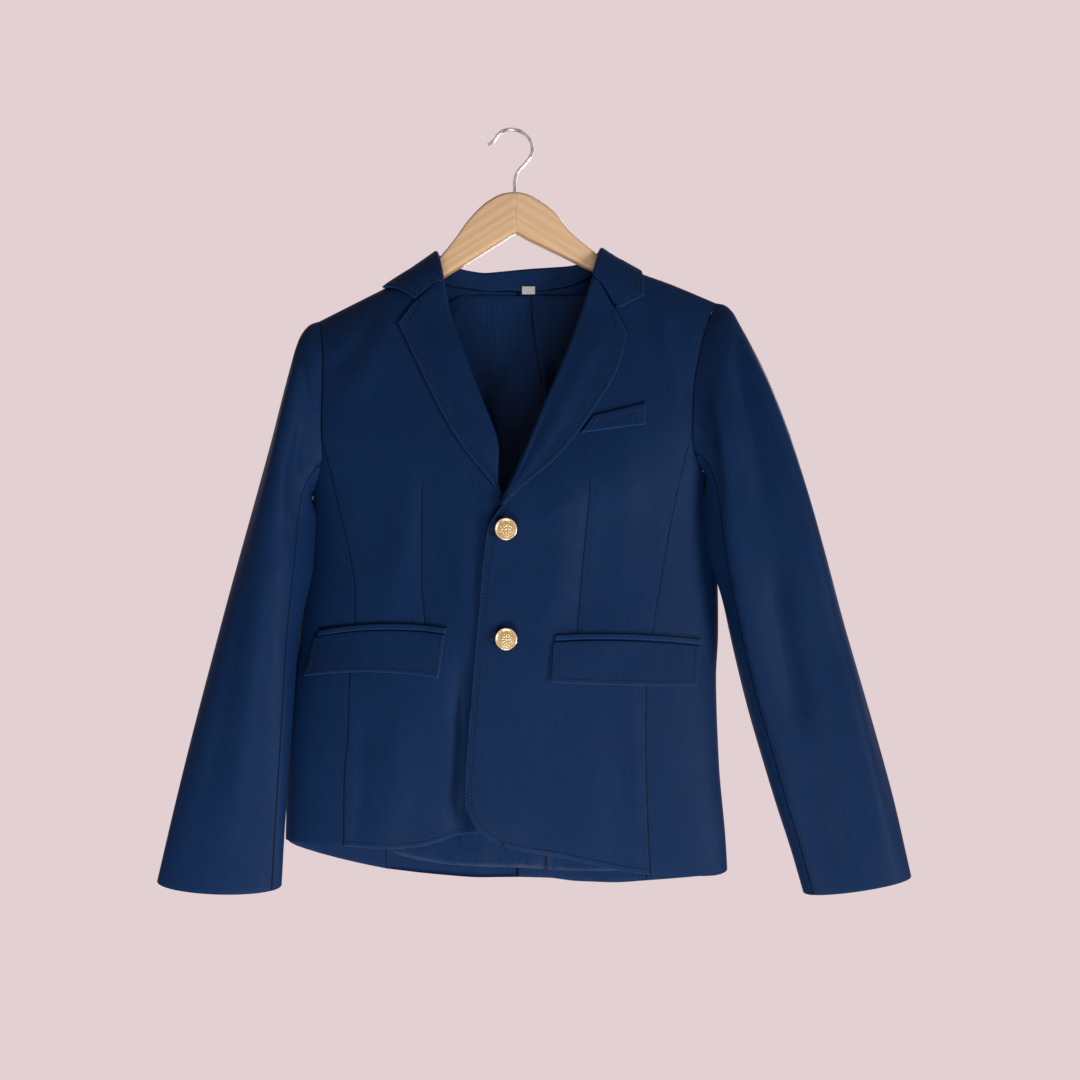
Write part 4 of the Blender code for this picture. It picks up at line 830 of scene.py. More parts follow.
def worsted_twill(tree, colours):
    """Navy polyester and wool gabardine, woven in a fine twill and pressed: a dull cloth with a
    faint sheen, a little lighter where it is rubbed at its edges."""
    flat = add(tree, "ShaderNodeUVMap", uv_map="cloth")
    edge, line, sewn, stitched, joined = [
        add(tree, "ShaderNodeAttribute", out="Fac", attribute_name=name)
        for name in ("edge_mm", "line_mm", "line_on", "stitched", "seam_mm")]
    # real twill lines are 0.5 mm apart; they are drawn 1.5 mm apart so that they show
    twill = add(tree, "ShaderNodeTexWave",
                {"Vector": flat, "Scale": math.tau / (10 * math.sqrt(2) * 0.0015),
                 "Distortion": 0.8, "Detail": 1.0, "Detail Scale": 2.0},
                out="Fac", wave_type="BANDS", bands_direction="DIAGONAL")
    yarn = add(tree, "ShaderNodeTexNoise", {"Vector": flat, "Scale": 900.0, "Detail": 2.0})
    stretched = add(tree, "ShaderNodeMapping", {"Vector": flat, "Scale": (1.0, 0.12, 1.0)})
    streak = add(tree, "ShaderNodeTexNoise", {"Vector": stretched, "Scale": 420.0, "Detail": 3.0})
    patches = add(tree, "ShaderNodeTexNoise", {"Vector": flat, "Scale": 22.0, "Detail": 4.0})
    weave = add(tree, "ShaderNodeMath", (twill, 0.35), operation="MULTIPLY")
    weave = add(tree, "ShaderNodeMath", (yarn, 0.65, weave), operation="MULTIPLY_ADD")
    tone = add(tree, "ShaderNodeMath", (weave, 0.4), operation="MULTIPLY")
    tone = add(tree, "ShaderNodeMath", (streak, 0.35, tone), operation="MULTIPLY_ADD")
    tone = add(tree, "ShaderNodeMath", (patches, 0.15, tone), operation="MULTIPLY_ADD")
    share = add(tree, "ShaderNodeMapRange", (tone, 0.25, 0.65, 0.0, 1.0), **EASED)
    colour = add(tree, "ShaderNodeMix",
                 {0: share, 6: rgba(colours.navy_shade), 7: rgba(colours.navy)}, **COLOURS)
    # the pressed edge is rubbed a little lighter
    rubbed = add(tree, "ShaderNodeMapRange", (edge, 0.0, 1.8, 0.6, 0.0), **EASED)
    colour = add(tree, "ShaderNodeMix", {0: rubbed, 6: colour, 7: rgba(colours.navy_worn)},
                 **COLOURS)
    # the dip along the topstitching, 5 mm in from the edge: a real groove in the bump, with painted
    # shade in it
    inset = bpy.context.scene.blazer_sizes.stitch_inset / MM
    away = add(tree, "ShaderNodeMath", (edge, inset), operation="SUBTRACT")
    away = add(tree, "ShaderNodeMath", (away,), operation="ABSOLUTE")
    dip = add(tree, "ShaderNodeMapRange", (away, 0.0, 1.5, 1.0, 0.0), **EASED)
    dip = add(tree, "ShaderNodeMath", (dip, stitched), operation="MULTIPLY")
    # the dart is a groove in the bump with painted shade along it; the seams that join the panels get
    # a painted shade line only
    dart_off = add(tree, "ShaderNodeMath", (line,), operation="ABSOLUTE")
    seam = add(tree, "ShaderNodeMapRange", (dart_off, 0.2, 1.1, 1.0, 0.0), **EASED)
    seam = add(tree, "ShaderNodeMath", (seam, sewn), operation="MULTIPLY")
    # painted shade: the dart, the seams and the stitching's dip are darkened toward the deepest navy
    dark = add(tree, "ShaderNodeMath", (seam, 0.85), operation="MULTIPLY")
    dark = add(tree, "ShaderNodeMath", (dip, 0.5, dark), operation="MULTIPLY_ADD")
    seam_shade = add(tree, "ShaderNodeMapRange", (joined, 0.2, 1.3, 0.85, 0.0), **EASED)
    dark = add(tree, "ShaderNodeMath", (dark, seam_shade), operation="MAXIMUM")
    colour = add(tree, "ShaderNodeMix", {0: dark, 6: colour, 7: rgba(colours.navy_painted_shade)},
                 **COLOURS)
    height = add(tree, "ShaderNodeMath", (seam, -0.8), operation="MULTIPLY")
    height = add(tree, "ShaderNodeMath", (dip, -0.5, height), operation="MULTIPLY_ADD")
    height = add(tree, "ShaderNodeMath", (weave, 0.10, height), operation="MULTIPLY_ADD")
    bump = add(tree, "ShaderNodeBump", {"Height": height, "Strength": 0.55, "Distance": 0.0007})
    rough = add(tree, "ShaderNodeMapRange", (weave, 0.3, 0.7, 0.50, 0.60), **EASED)
    return {"Base Color": colour, "Normal": bump, "Roughness": rough, "IOR": 1.5,
            "Specular IOR Level": 0.07, "Sheen Weight": 0.012, "Sheen Roughness": 0.38,
            "Sheen Tint": rgba(linear("#6f8fc8"))}


def polyester_satin(tree, colours):
    """Navy polyester satin: smooth, with a soft streaked gloss across the folds."""
    flat = add(tree, "ShaderNodeUVMap", uv_map="cloth")
    stretched = add(tree, "ShaderNodeMapping", {"Vector": flat, "Scale": (1.0, 0.06, 1.0)})
    streak = add(tree, "ShaderNodeTexNoise", {"Vector": stretched, "Scale": 500.0, "Detail": 3.0})
    crumple = add(tree, "ShaderNodeTexNoise",
                  {"Vector": flat, "Scale": 16.0, "Detail": 3.0, "Distortion": 0.6})
    share = add(tree, "ShaderNodeMapRange", (streak, 0.3, 0.7, 0.0, 1.0), **EASED)
    colour = add(tree, "ShaderNodeMix",
                 {0: share, 6: rgba(colours.satin), 7: rgba(colours.satin_light)}, **COLOURS)
    # painted shade: a dark line along the loose edge of the pleat, where its fold shades the satin
    line, pleated = [add(tree, "ShaderNodeAttribute", out="Fac", attribute_name=name)
                     for name in ("line_mm", "line_on")]
    away = add(tree, "ShaderNodeMath", (line,), operation="ABSOLUTE")
    fold = add(tree, "ShaderNodeMapRange", (away, 0.4, 1.8, 0.9, 0.0), **EASED)
    fold = add(tree, "ShaderNodeMath", (fold, pleated), operation="MULTIPLY")
    colour = add(tree, "ShaderNodeMix", {0: fold, 6: colour, 7: rgba(colours.navy_painted_shade)},
                 **COLOURS)
    height = add(tree, "ShaderNodeMath", (streak, 0.15), operation="MULTIPLY")
    height = add(tree, "ShaderNodeMath", (crumple, 6.0, height), operation="MULTIPLY_ADD")
    bump = add(tree, "ShaderNodeBump", {"Height": height, "Strength": 0.5, "Distance": 0.001})
    rough = add(tree, "ShaderNodeMapRange", (streak, 0.3, 0.7, 0.30, 0.42), **EASED)
    return {"Base Color": colour, "Normal": bump, "Roughness": rough, "Specular IOR Level": 0.07}


def woven_tape(tree, colours):
    """White woven polyester tape, the bare label: a close weave with soft folded ends."""
    flat = add(tree, "ShaderNodeUVMap", uv_map="cloth")
    warp, weft = [add(tree, "ShaderNodeTexWave",
                      {"Vector": flat, "Scale": scale, "Distortion": 0.4},
                      out="Fac", bands_direction=axis) for axis, scale in (("X", 520.0), ("Y", 380.0))]
    weave = add(tree, "ShaderNodeMath", (warp, weft), operation="MULTIPLY")
    colour = add(tree, "ShaderNodeMix",
                 {0: weave, 6: rgba(colours.label_shade), 7: rgba(colours.label)}, **COLOURS)
    bump = add(tree, "ShaderNodeBump", {"Height": weave, "Strength": 0.4, "Distance": 0.0002})
    return {"Base Color": colour, "Normal": bump, "Roughness": 0.62}


def plated_brass(tree, colours):
    """Pale gold plating on stamped brass: bright on the raised work, dull in the hollows."""
    here = add(tree, "ShaderNodeTexCoord", out="Object")
    raised = add(tree, "ShaderNodeAttribute", out="Fac", attribute_name="raised")
    grain = add(tree, "ShaderNodeTexNoise", {"Vector": here, "Scale": 1400.0, "Detail": 3.0})
    tone = add(tree, "ShaderNodeMath", (raised, 0.75), operation="MULTIPLY")
    tone = add(tree, "ShaderNodeMath", (grain, 0.35, tone), operation="MULTIPLY_ADD")
    share = add(tree, "ShaderNodeMapRange", (tone, 0.1, 0.75, 0.0, 1.0), **EASED)
    colour = add(tree, "ShaderNodeMix",
                 {0: share, 6: rgba(colours.gold_shade), 7: rgba(colours.gold)}, **COLOURS)
    bump = add(tree, "ShaderNodeBump", {"Height": grain, "Strength": 0.25, "Distance": 0.0002})
    rough = add(tree, "ShaderNodeMapRange", (tone, 0.1, 0.8, 0.42, 0.24), **EASED)
    return {"Base Color": colour, "Normal": bump, "Roughness": rough, "Metallic": 1.0}


def planed_beech(tree, pale, dark, below):
    """Steamed beech, planed and varnished: short flecks and a straight, quiet grain."""
    flat = add(tree, "ShaderNodeUVMap", uv_map="grain")
    stretched = add(tree, "ShaderNodeMapping", {"Vector": flat, "Scale": (0.06, 1.0, 1.0)})
    grain = add(tree, "ShaderNodeTexNoise",
                {"Vector": stretched, "Scale": 230.0, "Detail": 5.0, "Roughness": 0.6,
                 "Distortion": 0.5})
    rings = add(tree, "ShaderNodeTexWave",
                {"Vector": stretched, "Scale": 34.0, "Distortion": 5.0, "Detail": 3.0,
                 "Detail Scale": 1.2}, out="Fac", bands_direction="Y")
    flecked = add(tree, "ShaderNodeMapping", {"Vector": flat, "Scale": (0.22, 1.0, 1.0)})
    fleck = add(tree, "ShaderNodeTexNoise", {"Vector": flecked, "Scale": 1100.0, "Detail": 1.0})
    tone = add(tree, "ShaderNodeMath", (rings, 0.3), operation="MULTIPLY")
    tone = add(tree, "ShaderNodeMath", (grain, 0.6, tone), operation="MULTIPLY_ADD")
    share = add(tree, "ShaderNodeMapRange", (tone, 0.25, 0.75, 0.0, 1.0), **EASED)
    colour = add(tree, "ShaderNodeMix", {0: share, 6: pale, 7: dark}, **COLOURS)
    share = add(tree, "ShaderNodeMapRange", (fleck, 0.60, 0.72, 0.0, 0.35), **EASED)
    colour = add(tree, "ShaderNodeMix", {0: share, 6: colour, 7: dark}, **COLOURS)
    # painted shade: the underside of the arm is darkened halfway toward the underside colour
    under = add(tree, "ShaderNodeAttribute", out="Fac", attribute_name="under")
    under = add(tree, "ShaderNodeMath", (under, 0.5), operation="MULTIPLY")
    colour = add(tree, "ShaderNodeMix", {0: under, 6: colour, 7: below}, **COLOURS)
    bump = add(tree, "ShaderNodeBump", {"Height": grain, "Strength": 0.12, "Distance": 0.0004})
    rough = add(tree, "ShaderNodeMapRange", (grain, 0.3, 0.7, 0.36, 0.48), **EASED)
    return {"Base Color": colour, "Normal": bump, "Roughness": rough, "Coat Weight": 0.25,
            "Coat Roughness": 0.22}


def varnished_beech(tree, colours):
    """The right-hand arm's wood."""
    return planed_beech(tree, rgba(colours.wood), rgba(colours.wood_grain),
                        rgba(colours.wood_underside_shade))


def varnished_beech_dark(tree, colours):
    """The left-hand arm's wood, a little darker."""
    return planed_beech(tree, rgba(colours.wood_dark), rgba(colours.wood_dark_grain),
                        rgba(colours.wood_underside_shade))


def chromed_wire(tree, colours):
    """Drawn steel wire with bright chrome plating: even, with a few duller spots."""
    here = add(tree, "ShaderNodeTexCoord", out="Object")
    spots = add(tree, "ShaderNodeTexNoise", {"Vector": here, "Scale": 260.0, "Detail": 4.0})
    share = add(tree, "ShaderNodeMapRange", (spots, 0.4, 0.75, 0.0, 1.0), **EASED)
    colour = add(tree, "ShaderNodeMix",
                 {0: share, 6: rgba(colours.steel), 7: rgba(linear("#8a8884"))}, **COLOURS)
    bump = add(tree, "ShaderNodeBump", {"Height": spots, "Strength": 0.08, "Distance": 0.0003})
    rough = add(tree, "ShaderNodeMapRange", (spots, 0.35, 0.8, 0.12, 0.34), **EASED)
    return {"Base Color": colour, "Normal": bump, "Roughness": rough, "Metallic": 1.0}


def spun_thread(tree, colours):
    """Spun polyester thread, dyed to the cloth: two twisted plies with a slight shine."""
    # painted shade: the thread is dyed navy, but its colour is set much darker than the cloth for the
    # shade of the sunk stitching
    here = add(tree, "ShaderNodeTexCoord", out="Object")
    twist = add(tree, "ShaderNodeTexWave", {"Vector": here, "Scale": 420.0, "Distortion": 1.0},
                out="Fac", bands_direction="DIAGONAL")
    colour = add(tree, "ShaderNodeMix",
                 {0: twist, 6: rgba(colours.navy_painted_shade), 7: rgba(colours.thread)}, **COLOURS)
    bump = add(tree, "ShaderNodeBump", {"Height": twist, "Strength": 0.3, "Distance": 0.0002})
    return {"Base Color": colour, "Normal": bump, "Roughness": 0.5, "Sheen Weight": 0.2}


def painted_floor(tree, colours):
    """Matt floor paint with a faint speckle."""
    speck = add(tree, "ShaderNodeTexNoise", {"Scale": 60.0, "Detail": 4.0})
    colour = add(tree, "ShaderNodeMix",
                 {0: speck, 6: rgba(colours.floor), 7: rgba(linear("#d2c8c5"))}, **COLOURS)
    return {"Base Color": colour, "Roughness": 0.7}


MADE = {}


def look(maker):
    """The material that a maker builds, made once and named for it."""
    if maker not in MADE:
        made = bpy.data.materials.new(maker.__name__)
        made.use_nodes = True
        tree = made.node_tree
        tree.nodes.clear()
        shader = add(tree, "ShaderNodeBsdfPrincipled",
                     maker(tree, bpy.context.scene.blazer_colours))
        add(tree, "ShaderNodeOutputMaterial", {"Surface": shader})
        MADE[maker] = made
    return MADE[maker]


def finish(name, mesh, looks, outward=True):
    """Smooth shading, metres, and one object for the piece."""
    if outward:
        bmesh.ops.recalc_face_normals(mesh, faces=mesh.faces[:])
    bmesh.ops.scale(mesh, vec=(MM, MM, MM), verts=mesh.verts[:])
    data = bpy.data.meshes.new(name)
    mesh.to_mesh(data)
    mesh.free()
    data.shade_smooth()
    for each in looks:
        data.materials.append(look(each))
    made = bpy.data.objects.new(name, data)
    bpy.context.scene.collection.objects.link(made)
    return made


def bevelled(made, width, segments=2, angle=45.0):
    """Rounds the cut edges of a piece."""
    rim = made.modifiers.new("soft_edge", "BEVEL")
    rim.limit_method = "ANGLE"
    rim.angle_limit = math.radians(angle)
    rim.width = width * MM
    rim.segments = segments
    rim.profile = 0.5
    rim.use_clamp_overlap = True
    return made


def lengths(points):
    """Distances along a line of points."""
    out = [0.0]
    for a, b in zip(points, points[1:]):
        out.append(out[-1] + (b - a).length)
    return out


def dense(points, step):
    """The same line with a point at every step."""
    out = []
    along = lengths(points)
    count = max(1, int(along[-1] / step))
    index = 0
    for n in range(count + 1):
        want = along[-1] * n / count
        while index < len(points) - 2 and along[index + 1] < want:
            index += 1
        span = max(1e-9, along[index + 1] - along[index])
        out.append(points[index].lerp(points[index + 1], (want - along[index]) / span))
    return out


def cloth(name, outer, inner, edge=None, stitched=0.0, side=None, seams=(),
          slot="navy_wool", inner_rule=None, looks=(worsted_twill, polyester_satin)):
    """A closed sheet of cloth between two grids of points, with its flat coordinates, and the
    distances from its stitched edge, its seams and its dart kept on its points. The seams are
    named by the grid's border: the first or last column, or the top row."""
    rows, columns = len(outer) - 1, len(outer[0]) - 1
    mesh = bmesh.new()
    tag = mesh.verts.layers.int.new("place")
    edge_mm = mesh.verts.layers.float.new("edge_mm")
    line_mm = mesh.verts.layers.float.new("line_mm")
    line_on = mesh.verts.layers.float.new("line_on")
    sewn = mesh.verts.layers.float.new("stitched")
    seam_mm = mesh.verts.layers.float.new("seam_mm")
    tree = None
    if edge:
        border = dense(edge, 1.0)
        tree = KDTree(len(border))
        for k, point in enumerate(border):
            tree.insert(point, k)
        tree.balance()
    bmesh.ops.create_grid(mesh, x_segments=columns, y_segments=rows, size=0.5)
    across = lengths(outer[rows // 2])
    down = lengths([line[columns // 2] for line in outer])
    flat = mesh.loops.layers.uv.new("cloth")
    where = {}
    for vert in mesh.verts:
        i = round((vert.co.x + 0.5) * columns)
        j = round((vert.co.y + 0.5) * rows)
        where[vert] = (across[i] * MM, -down[j] * MM)
        vert[tag] = j * (columns + 1) + i
        point = outer[j][i]
        vert.co = point
        vert[edge_mm] = min(60.0, tree.find(point)[2]) if tree else 60.0
        vert[sewn] = stitched
        borders = {"first": outer[j][0], "last": outer[j][-1], "top": outer[0][i]}
        # the distance from the seams places only the painted shade line along them
        vert[seam_mm] = min([60.0] + [(point - borders[seam]).length for seam in seams])
        # the dart's line places its groove and painted shade along it; the pleat's line places painted
        # shade at its loose edge
        if side in DARTS:
            vert[line_mm] = max(-20.0, min(20.0, point.x - DART_AT[side](point.z)))
            vert[line_on] = (smooth(-331.0, -338.0, point.z)
                             * smooth(-474.0, -466.0, point.z))
        elif side == "pleat":
            vert[line_mm] = max(-20.0, min(20.0, point.x - pleat_at(point.z)))
            vert[line_on] = 1.0
        else:
            vert[line_mm] = 20.0
    for face in mesh.faces:
        for loop in face.loops:
            loop[flat].uv = where[loop.vert]
    made = bmesh.ops.extrude_face_region(mesh, geom=mesh.faces[:])
    turned = [part for part in made["geom"] if isinstance(part, bmesh.types.BMFace)]
    for vert in made["geom"]:
        if isinstance(vert, bmesh.types.BMVert):
            j, i = divmod(vert[tag], columns + 1)
            vert.co = inner[j][i]
            if side != "pleat":
                vert[line_on] = 0.0
            vert[sewn] = 0.0
    for face in turned:
        places = [divmod(v[tag], columns + 1) for v in face.verts]
        j = sum(p[0] for p in places) / len(places) / rows
        i = sum(p[1] for p in places) / len(places) / columns
        if inner_rule is None or inner_rule(i, j):
            face.material_index = 1
    made = finish(name, mesh, looks)
    return bevelled(made, 0.55)


def cut_of(outer):
    """Width, length and area of the flat piece that a grid of points was cut from, in metres."""
    width = max(lengths(line)[-1] for line in outer)
    length = max(lengths([line[i] for line in outer])[-1] for i in range(len(outer[0])))
    area = 0.0
    for above, below in zip(outer, outer[1:]):
        for a, b, c, d in zip(above, above[1:], below[1:], below):
            area += ((b - a).cross(d - a).length + (b - c).cross(d - c).length) / 2
    flat = (round(width * MM, 3), round(length * MM, 3))
    return flat, min(area * MM * MM, flat[0] * flat[1])


def stand_for(piece, node):
    """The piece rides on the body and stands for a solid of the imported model."""
    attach(piece, "root")
    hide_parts(node)


def hang(piece, node, outer, with_pieces=()):
    """The piece stands for its solid, and its threads ride on the body; the size of its cut is worked
    out but not used.
    """
    stand_for(piece, node)
    flat, area = cut_of(outer)
    for thread in with_pieces:
        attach(thread, "root")


def stitches(name, surface, path, toward):
    """A row of machine stitches set in from an edge, half sunk in the cloth. toward is a point
    of the piece beside the start of the edge."""
    sizes = bpy.context.scene.blazer_sizes
    inset, pitch = sizes.stitch_inset / MM, sizes.stitch_pitch / MM
    thick = sizes.thread_width / MM
    line = dense(path, pitch)
    tree = BVHTree.FromPolygons([p for row in surface for p in row],
                                grid_faces(len(surface), len(surface[0])))
    laid, sign = [], 0.0
    for k, point in enumerate(line):
        before, after = line[max(0, k - 2)], line[min(len(line) - 1, k + 2)]
        normal = tree.find_nearest(point)[1]
        across = normal.cross((after - before).normalized()).normalized()
        if not sign:
            sign = 1.0 if across.dot(toward - point) > 0 else -1.0
        laid.append(tree.find_nearest(point + across * inset * sign)[0])
    mesh = bmesh.new()
    for a, b in zip(laid, laid[1:]):
        ahead = b - a
        if not pitch * 0.3 < ahead.length < pitch * 1.8:
            continue
        made = bmesh.ops.create_uvsphere(mesh, u_segments=6, v_segments=4, radius=0.5)
        bmesh.ops.scale(mesh, vec=(ahead.length * 0.72, thick, thick), verts=made["verts"])
        turned = ahead.to_track_quat("X", "Z").to_matrix().to_4x4()
        bmesh.ops.transform(mesh, matrix=turned, verts=made["verts"])
        bmesh.ops.translate(mesh, vec=(a + b) / 2, verts=made["verts"])
    return finish(name, mesh, (spun_thread,), outward=False)


def grid_faces(rows, columns):
    """Corners of a grid's faces, for finding the nearest place on it."""
    return [(j * columns + i, j * columns + i + 1, (j + 1) * columns + i + 1,
             (j + 1) * columns + i) for j in range(rows - 1) for i in range(columns - 1)]


def reach_of(x, z):
    """Distance down from the shoulder line, round the cloth."""
    fall = max(0.0, shoulder(x) - z)
    if fall < HEAD:
        return math.acos(1.0 - fall / HEAD) / (math.pi / 2) * HEAD_ARC
    return HEAD_ARC + fall - HEAD


def over(x, reach, height):
    """A point over the shoulder: reach > 0 runs down the front, < 0 down the back."""
    face = "B" if reach < 0 else ("R" if x > 0 else "L")
    far = abs(reach)
    if far < HEAD_ARC:
        fall = HEAD * (1.0 - math.cos(far / HEAD_ARC * math.pi / 2))
    else:
        fall = HEAD + far - HEAD_ARC
    return place(x, shoulder(x) - fall, face, height)


def collar_station(row):
    """A table row with its heights turned into distances over the shoulder."""
    (seam_x, seam_z, roll_x, roll_y, roll_z, corner_x, corner_z, edge_x, edge_z, side,
     rise) = row
    face = 1.0 if roll_y < 0 else -1.0
    seam = face * reach_of(seam_x, seam_z)
    edge = side * reach_of(edge_x, edge_z)
    if corner_x is None:
        corner_x = seam_x + (edge_x - seam_x) * FALL_CORNER
        corner = seam + (edge - seam) * FALL_CORNER
    else:
        corner = face * reach_of(corner_x, corner_z)
    return (seam_x, seam, roll_x, roll_y, roll_z, corner_x, corner, edge_x, edge, rise)


def panel(name, grid, **marks):
    """A panel of the shell, with the wall's thickness behind its outer points."""
    wall = bpy.context.scene.blazer_sizes.cloth_wall / MM
    outer = [[point for point, _ in line] for line in grid]
    inner = [[point - normal * wall for point, normal in line] for line in grid]
    return cloth(name, outer, inner, **marks), outer


def grids(rows, columns, both):
    """Outer and inner points row by row. both gives the two points of one place from its shares
    across and down."""
    pairs = [[both(i / columns, j / rows) for i in range(columns + 1)] for j in range(rows + 1)]
    return [[[pair[layer] for pair in line] for line in pairs] for layer in (0, 1)]


def lapel_grids(side, rows=66, across=26):
    """The facing, from its tail inside, round the roll line and out over the front."""
    roll, edge, notch = ROLL[side], LAPEL[side], NOTCH[side]
    sign = 1.0 if side == "R" else -1.0
    outer, inner = [], []
    middle = -WALL / 2
    for j in range(rows + 1):
        v = j / rows
        rx, rz = curve(roll, v, 1), curve(roll, v, 2)
        ex, ez = curve(edge, v, 1), curve(edge, v, 2)
        if side == "L":
            # its foot runs on along the front's free edge
            rx -= 3.6 * smooth(0.8, 1.0, v)
            rz -= 9.0 * smooth(0.8, 1.0, v)
        normal = skin_normal(rx + sign * 4.0, rz, side)
        start = Vector((rx, depth(rx, rz, side), rz))
        out = Vector((ex, depth(ex, ez, side), ez))
        along = out - start
        width = along.length
        along = (along - normal * along.dot(normal)).normalized()
        radius = ROLL_RADIUS + (0.8 * smooth(0.5, 0.8, v) if side == "R" else 0.0)
        tail = max(4.6, min(LAPEL_TAIL, width * 0.5)) if side == "R" else LAPEL_TAIL
        tail = tail - (tail - 4.6) * smooth(0.88, 0.96, v)
        line_out, line_in = [], []
        centre = start + along * radius + normal * middle
        line_out.append(start + along * tail + normal * (middle - radius))
        line_in.append(start + along * tail + normal * (middle - radius + WALL))
        for step in range(BEND_STEPS):
            angle = math.radians(-90.0 + 15.0 * step)
            c, s = math.cos(angle), math.sin(angle)
            line_out.append(centre + (normal * s - along * c) * radius)
            line_in.append(centre + (normal * s - along * c) * (radius - WALL))
        for i in range(1, across + 1):
            t = i / across
            x, z = rx + sign * radius, rz
            x, z = x + (ex - x) * t, z + (ez - z) * t
            # only the first rows bend to the gorge and the notch
            bend = (1.0 - abs(2 * t - 1.0)) * max(0.0, 1.0 - v * 12)
            x += (notch[0] - (rx + sign * radius + ex) / 2) * bend
            z += (notch[1] - (rz + ez) / 2) * bend
            puff = 1.6 * math.sin(math.pi * v) * math.sin(math.pi * min(1.0, t * 1.3)) ** 2
            puff += 0.35 * math.sin(v * 17.0 + (0.0 if side == "R" else 2.0)) * smooth(0.3, 0.9, t)
            line_out.append(place(x, z, side, WALL + LAYER + max(0.0, puff)))
            line_in.append(place(x, z, side, LAYER + max(0.0, puff)))
        outer.append(line_out)
        inner.append(line_in)
    return outer, inner


def collar_section(station):
    """Middle line of the collar at one station: stand, rolled fold, fall."""
    seam_x, seam, roll_x, roll_y, roll_z, corner_x, corner, edge_x, edge, rise = station
    foot = over(seam_x, seam, -1.0)
    roll = Vector((roll_x, roll_y, roll_z))
    fall = []
    for step in range(1, 26):
        t = step / 25
        if t <= FALL_CORNER:
            share = t / FALL_CORNER
            x, far = seam_x + (corner_x - seam_x) * share, seam + (corner - seam) * share
        else:
            share = (t - FALL_CORNER) / (1.0 - FALL_CORNER)
            x, far = corner_x + (edge_x - corner_x) * share, corner + (edge - corner) * share
        if t > 0.1:
            fall.append(over(x, far, 1.0 + LAYER + 0.25 + rise * (1 - t) ** 0.65))
    up = (roll - foot).normalized()
    away = fall[0] - roll
    away = (away - up * away.dot(up)).normalized()
    stand = foot + up * 1.4
    centre = roll - up * FOLD_RADIUS + away * FOLD_RADIUS
    line = [stand.lerp(roll - up * FOLD_RADIUS, i / STAND_STEPS) for i in range(STAND_STEPS)]
    for step in range(BEND_STEPS):
        angle = math.radians(180.0 - 15.0 * step)
        line.append(centre + (away * math.cos(angle) + up * math.sin(angle)) * FOLD_RADIUS)
    gap = fall[0] - line[-1]
    line += [line[-1] + gap * i / (GAP_STEPS + 1) for i in range(1, GAP_STEPS + 1)]
    return line + fall


def collar_grids():
    """Collar: each station's section is stand, rolled edge and fall."""
    stations = [collar_station(row) for row in COLLAR]
    middle = [collar_section(stations[0])]
    last = len(stations) - 1
    for a in range(last):
        b = a + 1
        before, after = stations[max(0, a - 1)], stations[min(last, b + 1)]
        steps = 10 if a in (2, 3, 14, 15) else 7
        for step in range(1, steps + 1):
            t = step / steps
            row = []
            for p0, p1, p2, p3 in zip(before, stations[a], stations[b], after):
                row.append(0.5 * (2 * p1 + (p2 - p0) * t + (2 * p0 - 5 * p1 + 4 * p2 - p3) * t * t
                                  + (3 * p1 - p0 - 3 * p2 + p3) * t ** 3))
            middle.append(collar_section(row))
    rows, columns = len(middle), len(middle[0])
    outer, inner = [], []
    for j in range(rows):
        line_out, line_in = [], []
        for i in range(columns):
            du = middle[j][min(columns - 1, i + 1)] - middle[j][max(0, i - 1)]
            dv = middle[min(rows - 1, j + 1)][i] - middle[max(0, j - 1)][i]
            normal = dv.cross(du).normalized()
            line_out.append(middle[j][i] + normal)
            line_in.append(middle[j][i] - normal)
        outer.append(line_out)
        inner.append(line_in)
    return outer, inner


def patch_grids(name):
    """A flap or a welt lying on a front."""
    side, top_in, top_out, low_out, low_in, top_sag, low_sag = FLAPS[name]
    is_flap = name.startswith("flap")

    def both(u, v):
        x, z = [(top_in[k] * (1 - u) + top_out[k] * u) * (1 - v)
                + (low_in[k] * (1 - u) + low_out[k] * u) * v for k in (0, 1)]
        z += (top_sag * (1 - v) + low_sag * v) * 4 * u * (1 - u)
        height = LAYER
        if is_flap:
            # the flap lifts a little, unevenly, along its free edge
            height += 1.4 * v + 0.5 * v * (1 + math.sin(u * 7.0 + (1.0 if side == "R" else 3.0)))
        return place(x, z, side, height + WALL), place(x, z, side, height)

    return grids(14 if is_flap else 8, 48, both)


def lining_grids():
    """Satin over the inside of the back, with its loose pleat and a few slanting folds."""
    inside, outside = LINING_REACH

    def both(u, v):
        x = inside + (outside - inside) * u
        top = min(LINING_TOP, shoulder(x) - 40.0)
        z = top + (curve(LINING_HEM, x) - top) * v
        if abs(x) > 1:
            x *= 1.0 - 0.16 * smooth(-290.0, -520.0, z)
        off = x - pleat_at(z)
        lift = 3.0 * smooth(-1.6, 0.4, off) * (1.0 - smooth(0.4, 16.0, off))
        for height, middle, slant, width in LINING_FOLDS:
            lift += height * math.exp(-((x - middle - slant * (z + 150.0)) / width) ** 2)
        lift *= smooth(0.0, 0.03, v) * (1.0 - 0.6 * smooth(0.9, 1.0, v))
        outer = -WALL - LAYER - lift
        return place(x, z, "B", outer), place(x, z, "B", outer - SATIN)

    return grids(110, 72, both)


def label_grids():
    """The tape in the neck, bowed a little towards the front."""
    left, top = LABEL_CORNER
    stand = over(13.0, -reach_of(13.0, -149.8), -1.0)

    def both(u, v):
        x, z = left + LABEL_SIZE[0] * u, top - LABEL_SIZE[1] * v
        y = stand.y - 1.6 - 0.05 * (z - top + LABEL_SIZE[1]) - 0.25 * math.sin(math.pi * v)
        return Vector((x, y - 0.8, z)), Vector((x, y, z))

    return grids(12, 16, both)


